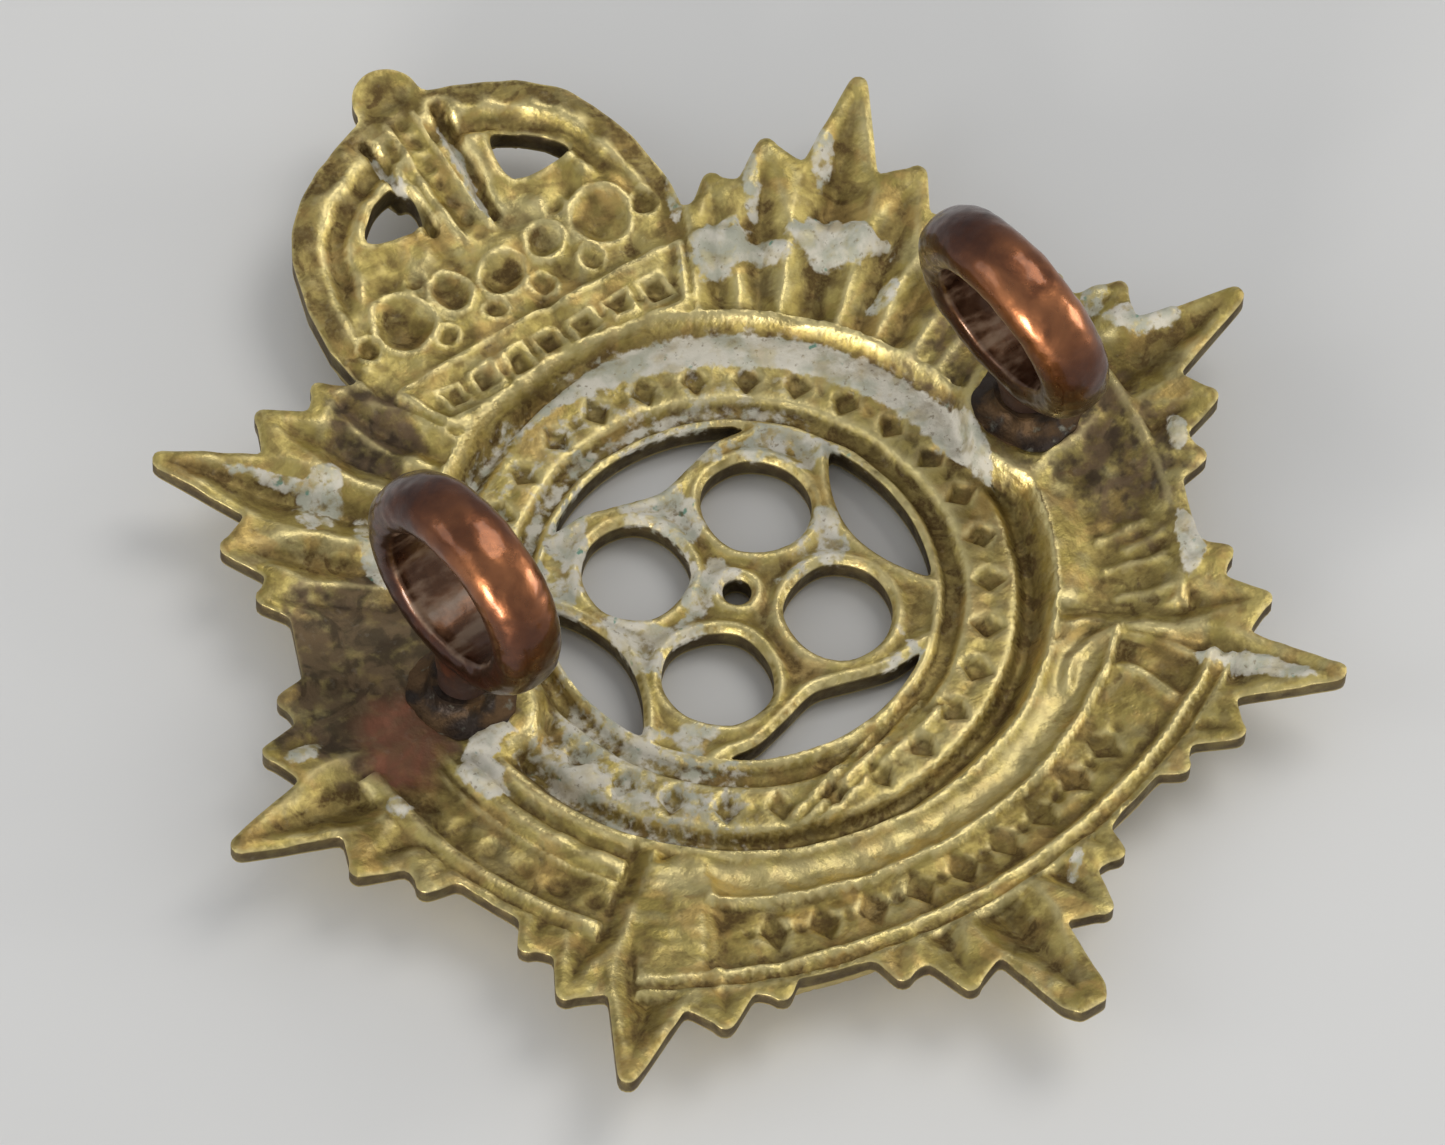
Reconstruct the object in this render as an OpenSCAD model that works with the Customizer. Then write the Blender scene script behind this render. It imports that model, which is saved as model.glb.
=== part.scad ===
// Cap badge: a die-struck brass plate with two wire loops brazed to its back.
// The badge lies on its front. +Z is the back, where the loops stand; +Y points to the crown.
// Star features are drawn about the centre of the star, and star_y moves them to the part's frame.

/* [Plate] */
// Thickness of the struck sheet
sheet = 1.0; // [0.8:0.1:1.3]
// Radius of the shallow dish that the sheet is bent to
dish_radius = 115; // [90:5:200]
// Height of the dish's back surface at the centre of the star
dish_floor = 1.85; // [1.8:0.05:2.2]

/* [Star] */
// Reach of a long ray from the centre of the star
long_ray = 21.8; // [21:0.1:23]
// Reach of the rays beside a long ray
near_ray = 18.9; // [18:0.1:19.5]
// Reach of the outermost rays of a group
far_ray = 17.6; // [17:0.1:18]
// Reach of the plain edge between two groups of rays
plain_edge = 16.4; // [16.2:0.1:16.8]
// Half-width of the hollow behind a long ray
long_hollow = 1.0; // [0.7:0.1:1.2]
// Half-width of the hollow behind a short ray
short_hollow = 0.6; // [0.4:0.1:0.8]

/* [Belt] */
// Height of the belt's centre above the centre of the star
belt_y = 0.5; // [0.3:0.1:0.7]
// Radius of the pierced window inside the belt
window_radius = 7.1; // [6.9:0.1:7.2]
// Outer radius of the belt
belt_radius = 11.2; // [11:0.1:11.4]
// Number of lozenges along the belt
belt_lozenges = 30; // [20:2:32]

/* [Scroll] */
// Outer radius of the scroll's two side lengths
scroll_radius = 16.2; // [16:0.1:16.4]
// How far the scroll stands out of the front
scroll_raise = 0.5; // [0.3:0.1:0.6]
// Number of lozenges along the middle length of the scroll
scroll_lozenges = 9; // [5:2:11]

/* [Crown] */
// How far the crown stands out of the front
crown_raise = 0.4; // [0.3:0.1:0.6]
// Height of the orb's centre above the centre of the star
orb_y = 23.7; // [23.5:0.1:24]
// Radius of the orb on top of the crown
orb_radius = 1.3; // [1.1:0.1:1.4]
// Number of jewels along the crown's rim
crown_jewels = 7; // [5:2:9]

/* [Loops] */
// Diameter of the loop wire
wire = 2.1; // [1.8:0.1:2.2]
// Width of a loop's ring, across which the wire is pressed a little wider
ring_width = 2.6; // [2.1:0.1:2.8]
// Outer radius of a loop
loop_outer = 4.4; // [4.2:0.1:4.6]
// Radius of the flat-walled hole in a loop
loop_bore = 2.7; // [2.5:0.1:2.8]
// Length of a loop from its foot to the centre of its ring
loop_reach = 7.2; // [7:0.1:7.6]
// Radius of the foot of a braze fillet
braze_radius = 2.0; // [1.8:0.1:2.2]

/* [Hidden] */
$fn = 96;

brass = [0.62, 0.53, 0.22];
copper = [0.52, 0.27, 0.15];
braze = [0.50, 0.36, 0.20];

// The origin is under the centre of the whole outline.
star_y = (long_ray - orb_y - orb_radius) / 2;
tall = 8;
clearance = 0.05;

// Each group of rays points to a multiple of 45 degrees, and the crown takes the place of one.
group_angles = [-90, -45, 0, 45, 135, 180, 225];
near_angle = 8.8;
far_angle = 15.3;
tip_width = 0.6;
bottom_tip_width = 1.6;

// Floor of the groove and of the lozenges on the back of the belt, above the table.
groove_floor = 0.95;

// Front and back of the bars in the window, above the table.
window_front = 0.1;
window_back = 1.5;

// How far a valley lies inside the shorter ray beside it, and how many degrees from a ray's centre line.
far_valley = far_ray - 0.4;
near_valley = near_ray - 0.8;
gap_turn = 2.6;
far_turn = 3.2;
near_turn = 4.4;

// Bars that shape the ridges of the rays: depth over half-width, rise in degrees, start and stop.
ray_steepness = 0.75;
ray_rise = 1.5;
bar_start = belt_radius - 1.4;
bar_stop = 1;

// Lozenges: half-length along a radius and half-width, on the front and in the hollow behind.
belt_lozenge = [0.8, 0.6];
belt_lozenge_hollow = [0.65, 0.42];
belt_lozenge_radius = 9.2;
scroll_lozenge_hollow = [0.55, 0.75];

// Arcs of the scroll's middle length: height of the centre above the star's centre, and radius.
edge_arc = [8.4, 24.4];
edge_groove_arc = [8.4, 23.7];
line_arc = [2.1, 14.9];
line_width = 0.4;
lozenge_arc = [4.8, 18.6];
lozenge_turn = 5.6;
scroll_turn = 38;

// Depths struck into the back of the scroll and the crown.
middle_raise = 0.2;
side_hollow = 0.3;
side_edge_hollow = 0.7;
middle_hollow = 0.45;
middle_border_hollow = 0.8;
lozenge_hollow = 1.0;
crown_hollow = 0.7;
crown_detail_raise = 0.4;

// Crown: how far the arches lie inside the outline, the middle arch, the bosses and the jewels of the rim.
flange = 0.25;
arch_outer_inset = [0.7, 0.3];
arch_inner_inset = [1.5, 0.7];
middle_arch_width = 1.0;
middle_arch_foot = 18.2;
middle_arch_length = 4.4;
crown_bosses = [
    [-4.3, 16.0, 1.15], [-2.0, 16.2, 0.75], [0, 15.9, 0.85], [2.0, 16.2, 0.75], [4.3, 16.0, 1.15]
];
jewel_step = 1.45;
jewel_size = 0.85;
jewel_y = 12.5;
jewel_sag = 0.01;

// A loop's frame: foot position about the star's centre, turn about Z and lean about the ring's level axis.
left_foot = [-10.95, 1.75];
left_turn = 7;
left_lean = 0;
right_foot = [12.95, 0.8];
right_turn = 6;
right_lean = 10;
seat_radius = braze_radius + 0.3;
fillet_lip = 0.12;

function dish_z(radius) = dish_floor + dish_radius - sqrt(dish_radius * dish_radius - radius * radius);
function seat_z(foot) = dish_z(norm(foot)) + clearance;
function polar(radius, angle) = [radius * cos(angle), radius * sin(angle)];
function mirrored(points) = [for (i = [len(points) - 1:-1:0]) [-points[i][0], points[i][1]]];
function flipped(points) = [for (i = [len(points) - 1:-1:0]) [points[i][0], -points[i][1]]];

// Smooth closed curve through the given points.
function spline_point(a, b, c, d, t) =
    b + (c - a) * t / 2 + (a - 2.5 * b + 2 * c - d / 2) * t * t + (3 * b - a - 3 * c + d) / 2 * t * t * t;
function closed_curve(points, steps = 4) = let (n = len(points)) [
    for (i = [0:n - 1], k = [0:steps - 1])
        spline_point(points[(i + n - 1) % n], points[i], points[(i + 1) % n], points[(i + 2) % n], k / steps)
];

// Openings in the window, about the belt's centre: one petal of four, and halves of the crescents round them.
petal = [[0.75, 3.3], [1.6, 4.5], [3.2, 4.6], [4.4, 3.5], [4.5, 1.9], [3.4, 0.75], [1.9, 0.85], [0.85, 1.7]];
top_crescent = [[1.4, 5.35], [3.0, 5.75], [4.8, 5.8], [4.5, 9.0], [1.5, 10.0]];
side_crescent = [[5.1, 1.2], [5.7, 2.5], [6.7, 3.5], [9.0, 3.2], [10.0, 1.2]];
top_crescent_y = 5.0;
side_crescent_x = 4.9;
hub_hole = 0.55;

// Right half of the crown's outline, from its rim up to the foot of the orb.
crown_side = [
    [5.2, 11.0], [6.2, 13.0], [7.1, 14.8], [7.3, 16.2], [7.1, 18.0], [6.5, 20.0],
    [5.9, 21.0], [4.8, 22.0], [3.6, 22.7], [2.6, 23.1], [1.3, 23.5]
];

// ---- Shapes that follow the dish ----

// Everything on the concave side of the dish surface that lies this deep below the back.
module bowl(depth) {
    translate([0, 0, dish_floor + dish_radius]) sphere(dish_radius + depth, $fn = 200);
}

// A flat outline made solid down to a front face that lies this deep below the back.
module struck(depth) {
    intersection() {
        linear_extrude(tall) children();
        bowl(depth);
    }
}

// ---- Star ----

// Points round one ray: the valley before it, then its blunt tip.
function ray_points(angle, reach, valley, turn, tip = tip_width) = let (blunt = tip / reach * 90 / PI) [
    polar(valley, angle - turn), polar(reach, angle - blunt), polar(reach, angle + blunt)
];
function group_points(angle) = concat(
    ray_points(angle - far_angle, far_ray, plain_edge, gap_turn),
    ray_points(angle - near_angle, near_ray, far_valley, far_turn),
    ray_points(angle, long_ray, near_valley, near_turn, angle == -90 ? bottom_tip_width : tip_width),
    ray_points(angle + near_angle, near_ray, near_valley, near_turn),
    ray_points(angle + far_angle, far_ray, far_valley, far_turn),
    [polar(plain_edge, angle + far_angle + gap_turn)]
);

module star_outline() {
    polygon([for (angle = group_angles) each group_points(angle)]);
}

// A bar with a V-shaped underside that runs outward along the dish and rises slightly towards its end.
module ray_bar(angle, depth, v_depth, half_width, start, end) {
    slope = asin((start + end) / 2 / dish_radius) + ray_rise;
    rotate(angle) translate([start, 0, dish_z(start) - depth]) rotate([0, -slope, 0])
        rotate([90, 0, 90]) linear_extrude(end - start)
            polygon([
                [0, -v_depth], [half_width, 0], [half_width, tall / 2],
                [-half_width, tall / 2], [-half_width, 0]
            ]);
}

// One bar for each ray, with its V starting this deep below the back.
module ray_bars(depth) {
    for (group = group_angles, ray = [-far_angle, -near_angle, 0, near_angle, far_angle]) {
        is_long = ray == 0;
        half_width = is_long ? long_hollow : short_hollow;
        reach = is_long ? long_ray : near_ray;
        ray_bar(group + ray, depth, half_width * ray_steepness, half_width, bar_start, reach - bar_stop);
    }
}

// ---- Crown ----

module crown_outline(inset = 0) {
    side = [for (p = crown_side) p - [inset, inset * 0.4]];
    polygon(concat(side, mirrored(side)));
    translate([0, orb_y]) circle(orb_radius - inset);
}

module crown_holes() {
    translate([-2.45, 19.85]) polygon(closed_curve([[-1.3, -0.6], [1.0, -0.8], [1.1, 0.7], [-0.2, 0.6]]));
    translate([3.5, 19.7]) polygon(closed_curve([[-1.1, -0.8], [1.4, -0.9], [0.5, 0.4], [-0.9, 1.1]]));
}

// Channels behind the two outer arches and the middle arch.
module crown_arches() {
    crest = [for (p = crown_side) if (p[1] > 17 && p[0] > 3) p];
    mirror_pair() polygon(concat(
        [for (p = crest) p - arch_outer_inset],
        [for (i = [len(crest) - 1:-1:0]) crest[i] - arch_inner_inset]
    ));
    translate([-middle_arch_width / 2, middle_arch_foot]) square([middle_arch_width, middle_arch_length]);
}

module crown_boss_row() {
    for (boss = crown_bosses) translate([boss[0], boss[1]]) circle(boss[2]);
}

module crown_rim_jewels() {
    for (i = [0:crown_jewels - 1]) {
        x = (i - (crown_jewels - 1) / 2) * jewel_step;
        translate([x, jewel_y - x * x * jewel_sag]) square([jewel_size, jewel_size], center = true);
    }
}

// ---- Belt and window ----

module belt_ring(profile) {
    translate([0, belt_y, 0]) rotate_extrude($fn = 180) polygon(profile);
}

module belt_body() {
    belt_ring([
        [0, window_front], [8.1, window_front], [8.3, 0.5], [10.1, 0.5],
        [10.3, 0], [belt_radius - 0.2, 0], [belt_radius, 0.2],
        [belt_radius + 0.3, tall], [0, tall]
    ]);
}

module belt_hollow() {
    belt_ring([
        [0, window_back], [window_radius + 0.2, window_back], [7.5, 1.0], [8.1, 1.0], [8.3, 1.45],
        [10.0, 1.45], [10.2, groove_floor], [10.7, groove_floor], [belt_radius + 0.3, 2.3],
        [belt_radius + 0.6, tall + 1], [0, tall + 1]
    ]);
}

module lozenge(half) {
    polygon([[half[0], 0], [0, half[1]], [-half[0], 0], [0, -half[1]]]);
}

module along_belt() {
    for (i = [0:belt_lozenges - 1])
        translate([0, belt_y]) rotate((i + 0.5) * 360 / belt_lozenges)
            translate([belt_lozenge_radius, 0]) children();
}

module mirror_pair() {
    children();
    mirror([1, 0]) children();
}

module window_openings() {
    translate([0, belt_y]) {
        circle(hub_hole);
        mirror_pair() {
            polygon(closed_curve(petal));
            mirror([0, 1]) polygon(closed_curve(petal));
        }
        // Crescents between the petals and the belt.
        intersection() {
            circle(window_radius);
            union() {
                mirror_pair() polygon(closed_curve(concat(
                    [[side_crescent_x, 0]], side_crescent, flipped(side_crescent)
                )));
                whole_top = concat([[0, top_crescent_y]], top_crescent, mirrored(top_crescent));
                polygon(closed_curve(whole_top));
                mirror([0, 1]) polygon(closed_curve(whole_top));
            }
        }
    }
}

// ---- Scroll ----

module half_plane(size) {
    translate([-size, 0]) square([2 * size, size]);
}

module ring_sector(inner, outer, from, to) {
    difference() {
        translate([0, belt_y]) circle(outer);
        translate([0, belt_y]) circle(inner);
        // Two half planes leave the wedge between the angles.
        translate([0, belt_y]) rotate(to) half_plane(2 * outer);
        translate([0, belt_y]) rotate(from + 180) half_plane(2 * outer);
    }
}

module side_lengths(inner, outer) {
    mirror_pair() ring_sector(inner, outer, -scroll_turn, 0);
}

module arc_disk(arc, grow = 0) {
    translate([0, arc[0]]) circle(arc[1] + grow);
}

// The middle length: a wide arc below the belt, with ends cut along the arc's radii.
module middle_length(inset = 0) {
    difference() {
        intersection() {
            arc_disk(edge_arc, -inset);
            polygon([
                [-9.5 + inset, -7.8], [9.5 - inset, -7.8], [11.2 - inset, -9.6],
                [16.4 - inset, -18], [-16.4 + inset, -18], [-11.2 + inset, -9.6]
            ]);
        }
        translate([0, belt_y]) circle(belt_radius + 0.4 + inset);
    }
}

module middle_border() {
    difference() {
        middle_length(flange);
        arc_disk(edge_groove_arc);
    }
    difference() {
        intersection() {
            middle_length(flange);
            arc_disk(line_arc, line_width / 2);
        }
        arc_disk(line_arc, -line_width / 2);
    }
}

module along_scroll() {
    for (i = [0:scroll_lozenges - 1])
        translate([0, lozenge_arc[0]]) rotate(-90 + (i - (scroll_lozenges - 1) / 2) * lozenge_turn)
            translate([lozenge_arc[1], 0]) children();
}

// ---- Loops ----

// Moves a loop drawn along +Z from its foot to its place on the plate.
module at_foot(foot, turn, lean) {
    translate([foot[0], foot[1] + star_y, seat_z(foot)])
        rotate([0, 0, turn]) rotate([0, -lean, 0]) children();
}

// Section of the ring: round edges, a narrow level crown, and an inner side flattened to a true bore.
module ring_section() {
    level = ring_width - wire;
    difference() {
        translate([loop_outer - wire / 2, 0]) {
            for (side = [-1, 1]) translate([0, side * level / 2]) circle(wire / 2, $fn = 48);
            square([wire, level], center = true);
        }
        translate([0, -ring_width]) square([loop_bore, 2 * ring_width]);
    }
}

module loop_ring() {
    translate([0, 0, loop_reach]) rotate([0, 90, 0]) rotate_extrude($fn = 120) ring_section();
}

module loop_shank() {
    translate([0, 0, -1]) cylinder(loop_reach - loop_outer + wire / 2 + 1, wire / 2, wire / 2, $fn = 64);
}

module wire_loop(foot, turn, lean) {
    difference() {
        at_foot(foot, turn, lean) {
            loop_ring();
            loop_shank();
        }
        // The foot is filed level with its seat.
        translate([foot[0], foot[1] + star_y, seat_z(foot) - tall]) cylinder(tall, loop_outer, loop_outer);
    }
}

// Filler that flows up the shank in a hollow curve.
module braze_fillet(foot, turn, lean) {
    hollow = braze_radius - wire / 2 - fillet_lip;
    difference() {
        translate([foot[0], foot[1] + star_y, seat_z(foot)]) rotate_extrude($fn = 96) difference() {
            square([braze_radius, hollow + fillet_lip]);
            translate([braze_radius, hollow + fillet_lip]) circle(hollow, $fn = 64);
        }
        at_foot(foot, turn, lean) loop_shank();
    }
}

// ---- Sub-parts ----

// The sheet with everything that is struck outward on its front.
module plate_front() {
    struck(sheet) {
        star_outline();
        crown_outline();
    }
    intersection() {
        linear_extrude(tall) star_outline();
        ray_bars(sheet);
    }
    struck(sheet + scroll_raise) side_lengths(belt_radius, scroll_radius);
    struck(sheet + scroll_raise + middle_raise) middle_length();
    struck(sheet + crown_raise) crown_outline(flange);
    struck(sheet + crown_raise + crown_detail_raise) {
        crown_arches();
        crown_boss_row();
        crown_rim_jewels();
    }
    belt_body();
    linear_extrude(1) along_belt() lozenge(belt_lozenge);
}

// Everything that is hollow on the back.
module plate_hollows() {
    bowl(0);
    belt_hollow();
    translate([0, 0, groove_floor]) linear_extrude(tall) along_belt() lozenge(belt_lozenge_hollow);
    difference() {
        ray_bars(0);
        linear_extrude(tall) {
            middle_length();
            side_lengths(belt_radius, scroll_radius);
            crown_outline();
        }
    }
    struck(side_hollow) side_lengths(belt_radius + 0.6, scroll_radius - 0.4);
    struck(side_edge_hollow) side_lengths(scroll_radius - 0.9, scroll_radius - 0.4);
    struck(middle_hollow) middle_length(2 * flange);
    struck(middle_border_hollow) middle_border();
    struck(lozenge_hollow) along_scroll() lozenge(scroll_lozenge_hollow);
    struck(crown_hollow) {
        crown_arches();
        crown_boss_row();
        crown_rim_jewels();
    }
}

// Level pads under the feet of the loops.
module seat(foot) {
    difference() {
        struck(sheet) translate(foot) circle(seat_radius);
        above_seat(foot);
    }
}

module above_seat(foot) {
    clear_radius = seat_radius + clearance;
    translate([foot[0], foot[1], seat_z(foot)]) cylinder(tall, clear_radius, clear_radius);
}

module badge_plate() {
    color(brass) translate([0, star_y, 0]) difference() {
        union() {
            difference() {
                plate_front();
                plate_hollows();
            }
            seat(left_foot);
            seat(right_foot);
        }
        above_seat(left_foot);
        above_seat(right_foot);
        linear_extrude(tall, center = true) {
            window_openings();
            crown_holes();
        }
    }
}

module left_loop() {
    color(copper) wire_loop(left_foot, left_turn, left_lean);
}

module right_loop() {
    color(copper) wire_loop(right_foot, right_turn, right_lean);
}

module left_braze() {
    color(braze) braze_fillet(left_foot, left_turn, left_lean);
}

module right_braze() {
    color(braze) braze_fillet(right_foot, right_turn, right_lean);
}

badge_plate();
left_loop();
right_loop();
left_braze();
right_braze();
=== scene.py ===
"""Looks for the cap badge: a struck brass plate seen from its hollow back, with two copper wire loops.

Shapes are worked out in millimetres about the centre of the star, with +X to the right, +Y to the crown
and +Z to the back. They become metres in the part's frame when a mesh is made.
"""

import math
from functools import partialmethod

import bpy
import numpy as np
from mathutils import Matrix, Vector, noise


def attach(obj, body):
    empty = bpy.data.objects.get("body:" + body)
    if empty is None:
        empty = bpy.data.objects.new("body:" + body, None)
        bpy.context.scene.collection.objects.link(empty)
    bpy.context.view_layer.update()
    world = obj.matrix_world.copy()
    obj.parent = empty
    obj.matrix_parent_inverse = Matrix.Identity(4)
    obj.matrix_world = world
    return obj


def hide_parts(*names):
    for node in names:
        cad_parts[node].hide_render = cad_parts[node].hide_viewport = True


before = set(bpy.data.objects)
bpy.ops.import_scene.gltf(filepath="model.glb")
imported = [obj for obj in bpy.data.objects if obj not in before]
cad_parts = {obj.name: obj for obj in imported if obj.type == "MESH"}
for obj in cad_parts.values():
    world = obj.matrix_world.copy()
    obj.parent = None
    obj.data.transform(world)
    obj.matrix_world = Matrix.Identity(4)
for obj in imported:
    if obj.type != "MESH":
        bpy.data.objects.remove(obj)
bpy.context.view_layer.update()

MM = 0.001

# ---- Sizes shared with the CAD source, in millimetres and degrees ----

STAR_Y = -1.6
SHEET = 1.0
DISH_RADIUS = 115
DISH_FLOOR = 1.85

LONG_RAY = 21.8
NEAR_RAY = 18.9
FAR_RAY = 17.6
PLAIN_EDGE = 16.4
FAR_VALLEY = FAR_RAY - 0.4
NEAR_VALLEY = NEAR_RAY - 0.8
GROUP_ANGLES = [-90, -45, 0, 45, 135, 180, 225]
NEAR_ANGLE = 8.8
FAR_ANGLE = 15.3
GAP_ANGLE = 17.9
PLAIN_ANGLE = 22.5

BELT_Y = 0.5
WINDOW_RADIUS = 7.1
BELT_RADIUS = 11.2
BELT_LOZENGES = 30
SCROLL_RADIUS = 16.2
SCROLL_GAP = 0.3
SCROLL_TURN = 38
SCROLL_LOZENGES = 9
LOZENGE_TURN = 5.6
# Arcs of the scroll's middle length: height of the centre, and radius
EDGE_ARC = (8.4, 24.4)
LINE_ARC = (2.1, 14.9)
LOZENGE_ARC = (4.8, 18.6)

ORB_Y = 23.7
ORB_RADIUS = 1.3
CROWN_JEWELS = 7
JEWEL_STEP = 1.45

WIRE = 2.1
RING_WIDTH = 2.6
LOOP_OUTER = 4.4
LOOP_BORE = 2.7
LOOP_REACH = 7.2
BRAZE_RADIUS = 2.0
BRAZE_LIP = 0.12
LEFT_FOOT, RIGHT_FOOT = (-10.95, 1.75), (12.95, 0.8)
# Foot, turn and lean of each loop
LEFT = (LEFT_FOOT, 7, 0)
RIGHT = (RIGHT_FOOT, 6, 10)

# Outlines
CROWN_SIDE = [
    (5.2, 11.0), (6.2, 13.0), (7.1, 14.8), (7.3, 16.2), (7.1, 18.0), (6.5, 20.0),
    (5.9, 21.0), (4.8, 22.0), (3.6, 22.7), (2.6, 23.1), (1.3, 23.5),
]
PETAL = [(0.75, 3.3), (1.6, 4.5), (3.2, 4.6), (4.4, 3.5), (4.5, 1.9), (3.4, 0.75), (1.9, 0.85), (0.85, 1.7)]
TOP_CRESCENT = [(1.4, 5.35), (3.0, 5.75), (4.8, 5.8), (4.5, 9.0), (1.5, 10.0)]
SIDE_CRESCENT = [(5.1, 1.2), (5.7, 2.5), (6.7, 3.5), (9.0, 3.2), (10.0, 1.2)]
TOP_CRESCENT_Y = 5.0
SIDE_CRESCENT_X = 4.9
HUB_HOLE = 0.55
LEFT_CROWN_HOLE = [(-3.75, 19.25), (-1.45, 19.05), (-1.35, 20.55), (-2.65, 20.45)]
RIGHT_CROWN_HOLE = [(2.4, 18.9), (4.9, 18.8), (4.0, 20.1), (2.6, 20.8)]

# The plate's grid of points
PITCH = 0.14
COLUMNS = np.arange(-22.4, 22.4, PITCH)
ROWS = np.arange(-22.4, 25.6, PITCH)

# How far the plate's edges are rounded off
EDGE_WEAR = 0.1
FRONT_ROUNDING = 0.2


# ---- Flat distances and profiles ----

def smooth(start, end, value):
    """0 up to start and 1 from end on, with an eased step between; end may be below start."""
    t = np.clip((value - start) / (end - start), 0, 1)
    return t * t * (3 - 2 * t)


def ridge(distance, half_width):
    """1 on a line, easing to 0 at half_width from it."""
    return smooth(half_width, 0, np.abs(distance))


def blend(low, high, share):
    return low + (high - low) * share


def polar(radius, angle):
    return radius * math.cos(math.radians(angle)), radius * math.sin(math.radians(angle))


def mirrored(points):
    return [(-x, y) for x, y in reversed(points)]


def flipped(points):
    return [(x, -y) for x, y in reversed(points)]


def away_from(x, y, place):
    return np.hypot(x - place[0], y - place[1])


def past_arc(x, y, arc):
    """Distance outside an arc, which is given as the height of its centre and its radius."""
    return np.hypot(x, y - arc[0]) - arc[1]


def to_segment(x, y, a, b):
    along = (b[0] - a[0], b[1] - a[1])
    t = ((x - a[0]) * along[0] + (y - a[1]) * along[1]) / (along[0] ** 2 + along[1] ** 2)
    t = np.clip(t, 0, 1)
    return np.hypot(x - a[0] - t * along[0], y - a[1] - t * along[1])


def to_line(x, y, points):
    return np.minimum.reduce([to_segment(x, y, a, b) for a, b in zip(points, points[1:])])


def in_polygon(x, y, points):
    """Distance to a closed outline, positive inside it."""
    closed = points + points[:1]
    inside = np.zeros(x.shape, bool)
    for (ax, ay), (bx, by) in zip(closed, closed[1:]):
        if ay != by:
            inside ^= ((ay > y) != (by > y)) & (x < ax + (bx - ax) * (y - ay) / (by - ay))
    distance = to_line(x, y, closed)
    return np.where(inside, distance, -distance)


def curve_between(a, b, c, d, steps=4):
    """Points of a smooth curve from b up to c, which comes from a and goes on to d."""
    a, b, c, d = (np.array(point, float) for point in (a, b, c, d))
    for t in np.arange(steps) / steps:
        point = 2 * b + (c - a) * t + (2 * a - 5 * b + 4 * c - d) * t**2 + (3 * b - a - 3 * c + d) * t**3
        yield tuple(point / 2)


def curve_through(points):
    """Points of a smooth curve from the second point to the last but one."""
    spans = zip(points, points[1:], points[2:], points[3:])
    return [point for span in spans for point in curve_between(*span)]


def closed_curve(points):
    return curve_through(points[-1:] + points + points[:2])


def open_curve(points):
    return curve_through(points[:1] + points + points[-1:]) + points[-1:]


def wobble(x, y, size, seed):
    """Random field from -1 to 1 whose bumps are about this size."""
    table = np.random.default_rng(seed).uniform(-1, 1, (64, 64))
    u, v = x / size, y / size
    i, j = np.floor(u).astype(int), np.floor(v).astype(int)
    s, t = smooth(0, 1, u - i), smooth(0, 1, v - j)
    near = blend(table[i % 64, j % 64], table[(i + 1) % 64, j % 64], s)
    far = blend(table[i % 64, (j + 1) % 64], table[(i + 1) % 64, (j + 1) % 64], s)
    return blend(near, far, t)


def in_spot(x, y, ragged, spot):
    """Share of a spot: centre, stretch along x and y, raggedness, outer and inner reach, and strength."""
    (centre_x, centre_y), (stretch_x, stretch_y), raggedness, outer, inner, strength = spot
    away = np.hypot((x - centre_x) / stretch_x, (y - centre_y) / stretch_y)
    return strength * smooth(outer, inner, away + raggedness * ragged)


def blurred(field, radius):
    """The field smoothed by a bell curve of this radius, counted in grid steps."""
    reach = int(3 * radius) + 1
    weights = np.exp(-0.5 * (np.arange(-reach, reach + 1) / radius) ** 2)
    weights /= weights.sum()
    for axis in (0, 1):
        padded = np.pad(field, [(reach, reach) if a == axis else (0, 0) for a in (0, 1)], mode="edge")
        size = field.shape[axis]
        field = sum(w * padded.take(range(k, k + size), axis) for k, w in enumerate(weights))
    return field


# ---- Outline of the plate ----

def ray_points(angle, reach, valley, valley_angle):
    """The valley before one ray, then its rounded tip."""
    half_tip = 0.9 if angle == -90 else 0.34
    points = [polar(valley, angle - valley_angle)]
    for aside, short in ((-1, 0.7), (-0.6, 0.05), (0.6, 0.05), (1, 0.7)):
        out = reach - short * half_tip
        points.append(polar(out, angle + math.degrees(aside * half_tip / out)))
    return points


# Rays of one group: turn and reach of the ray, then radius and turn back of the valley before it
GROUP_RAYS = [
    (-FAR_ANGLE, FAR_RAY, PLAIN_EDGE, 2.6),
    (-NEAR_ANGLE, NEAR_RAY, FAR_VALLEY, 3.2),
    (0, LONG_RAY, NEAR_VALLEY, 4.4),
    (NEAR_ANGLE, NEAR_RAY, NEAR_VALLEY, 4.4),
    (FAR_ANGLE, FAR_RAY, FAR_VALLEY, 3.2),
]


def star_points():
    points = []
    for group in GROUP_ANGLES:
        for turn, reach, valley, valley_angle in GROUP_RAYS:
            points += ray_points(group + turn, reach, valley, valley_angle)
        points.append(polar(PLAIN_EDGE, group + GAP_ANGLE))
    return points


def belt_radius_at(x, y):
    return np.hypot(x, y - BELT_Y)


def crown_field(x, y):
    return in_polygon(x, y, CROWN_SIDE + mirrored(CROWN_SIDE))


def orb_field(x, y):
    return ORB_RADIUS - np.hypot(x, y - ORB_Y)


def crown_hole_field(x, y):
    left = in_polygon(x, y, closed_curve(LEFT_CROWN_HOLE))
    right = in_polygon(x, y, closed_curve(RIGHT_CROWN_HOLE))
    return np.maximum(left, right)


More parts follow.
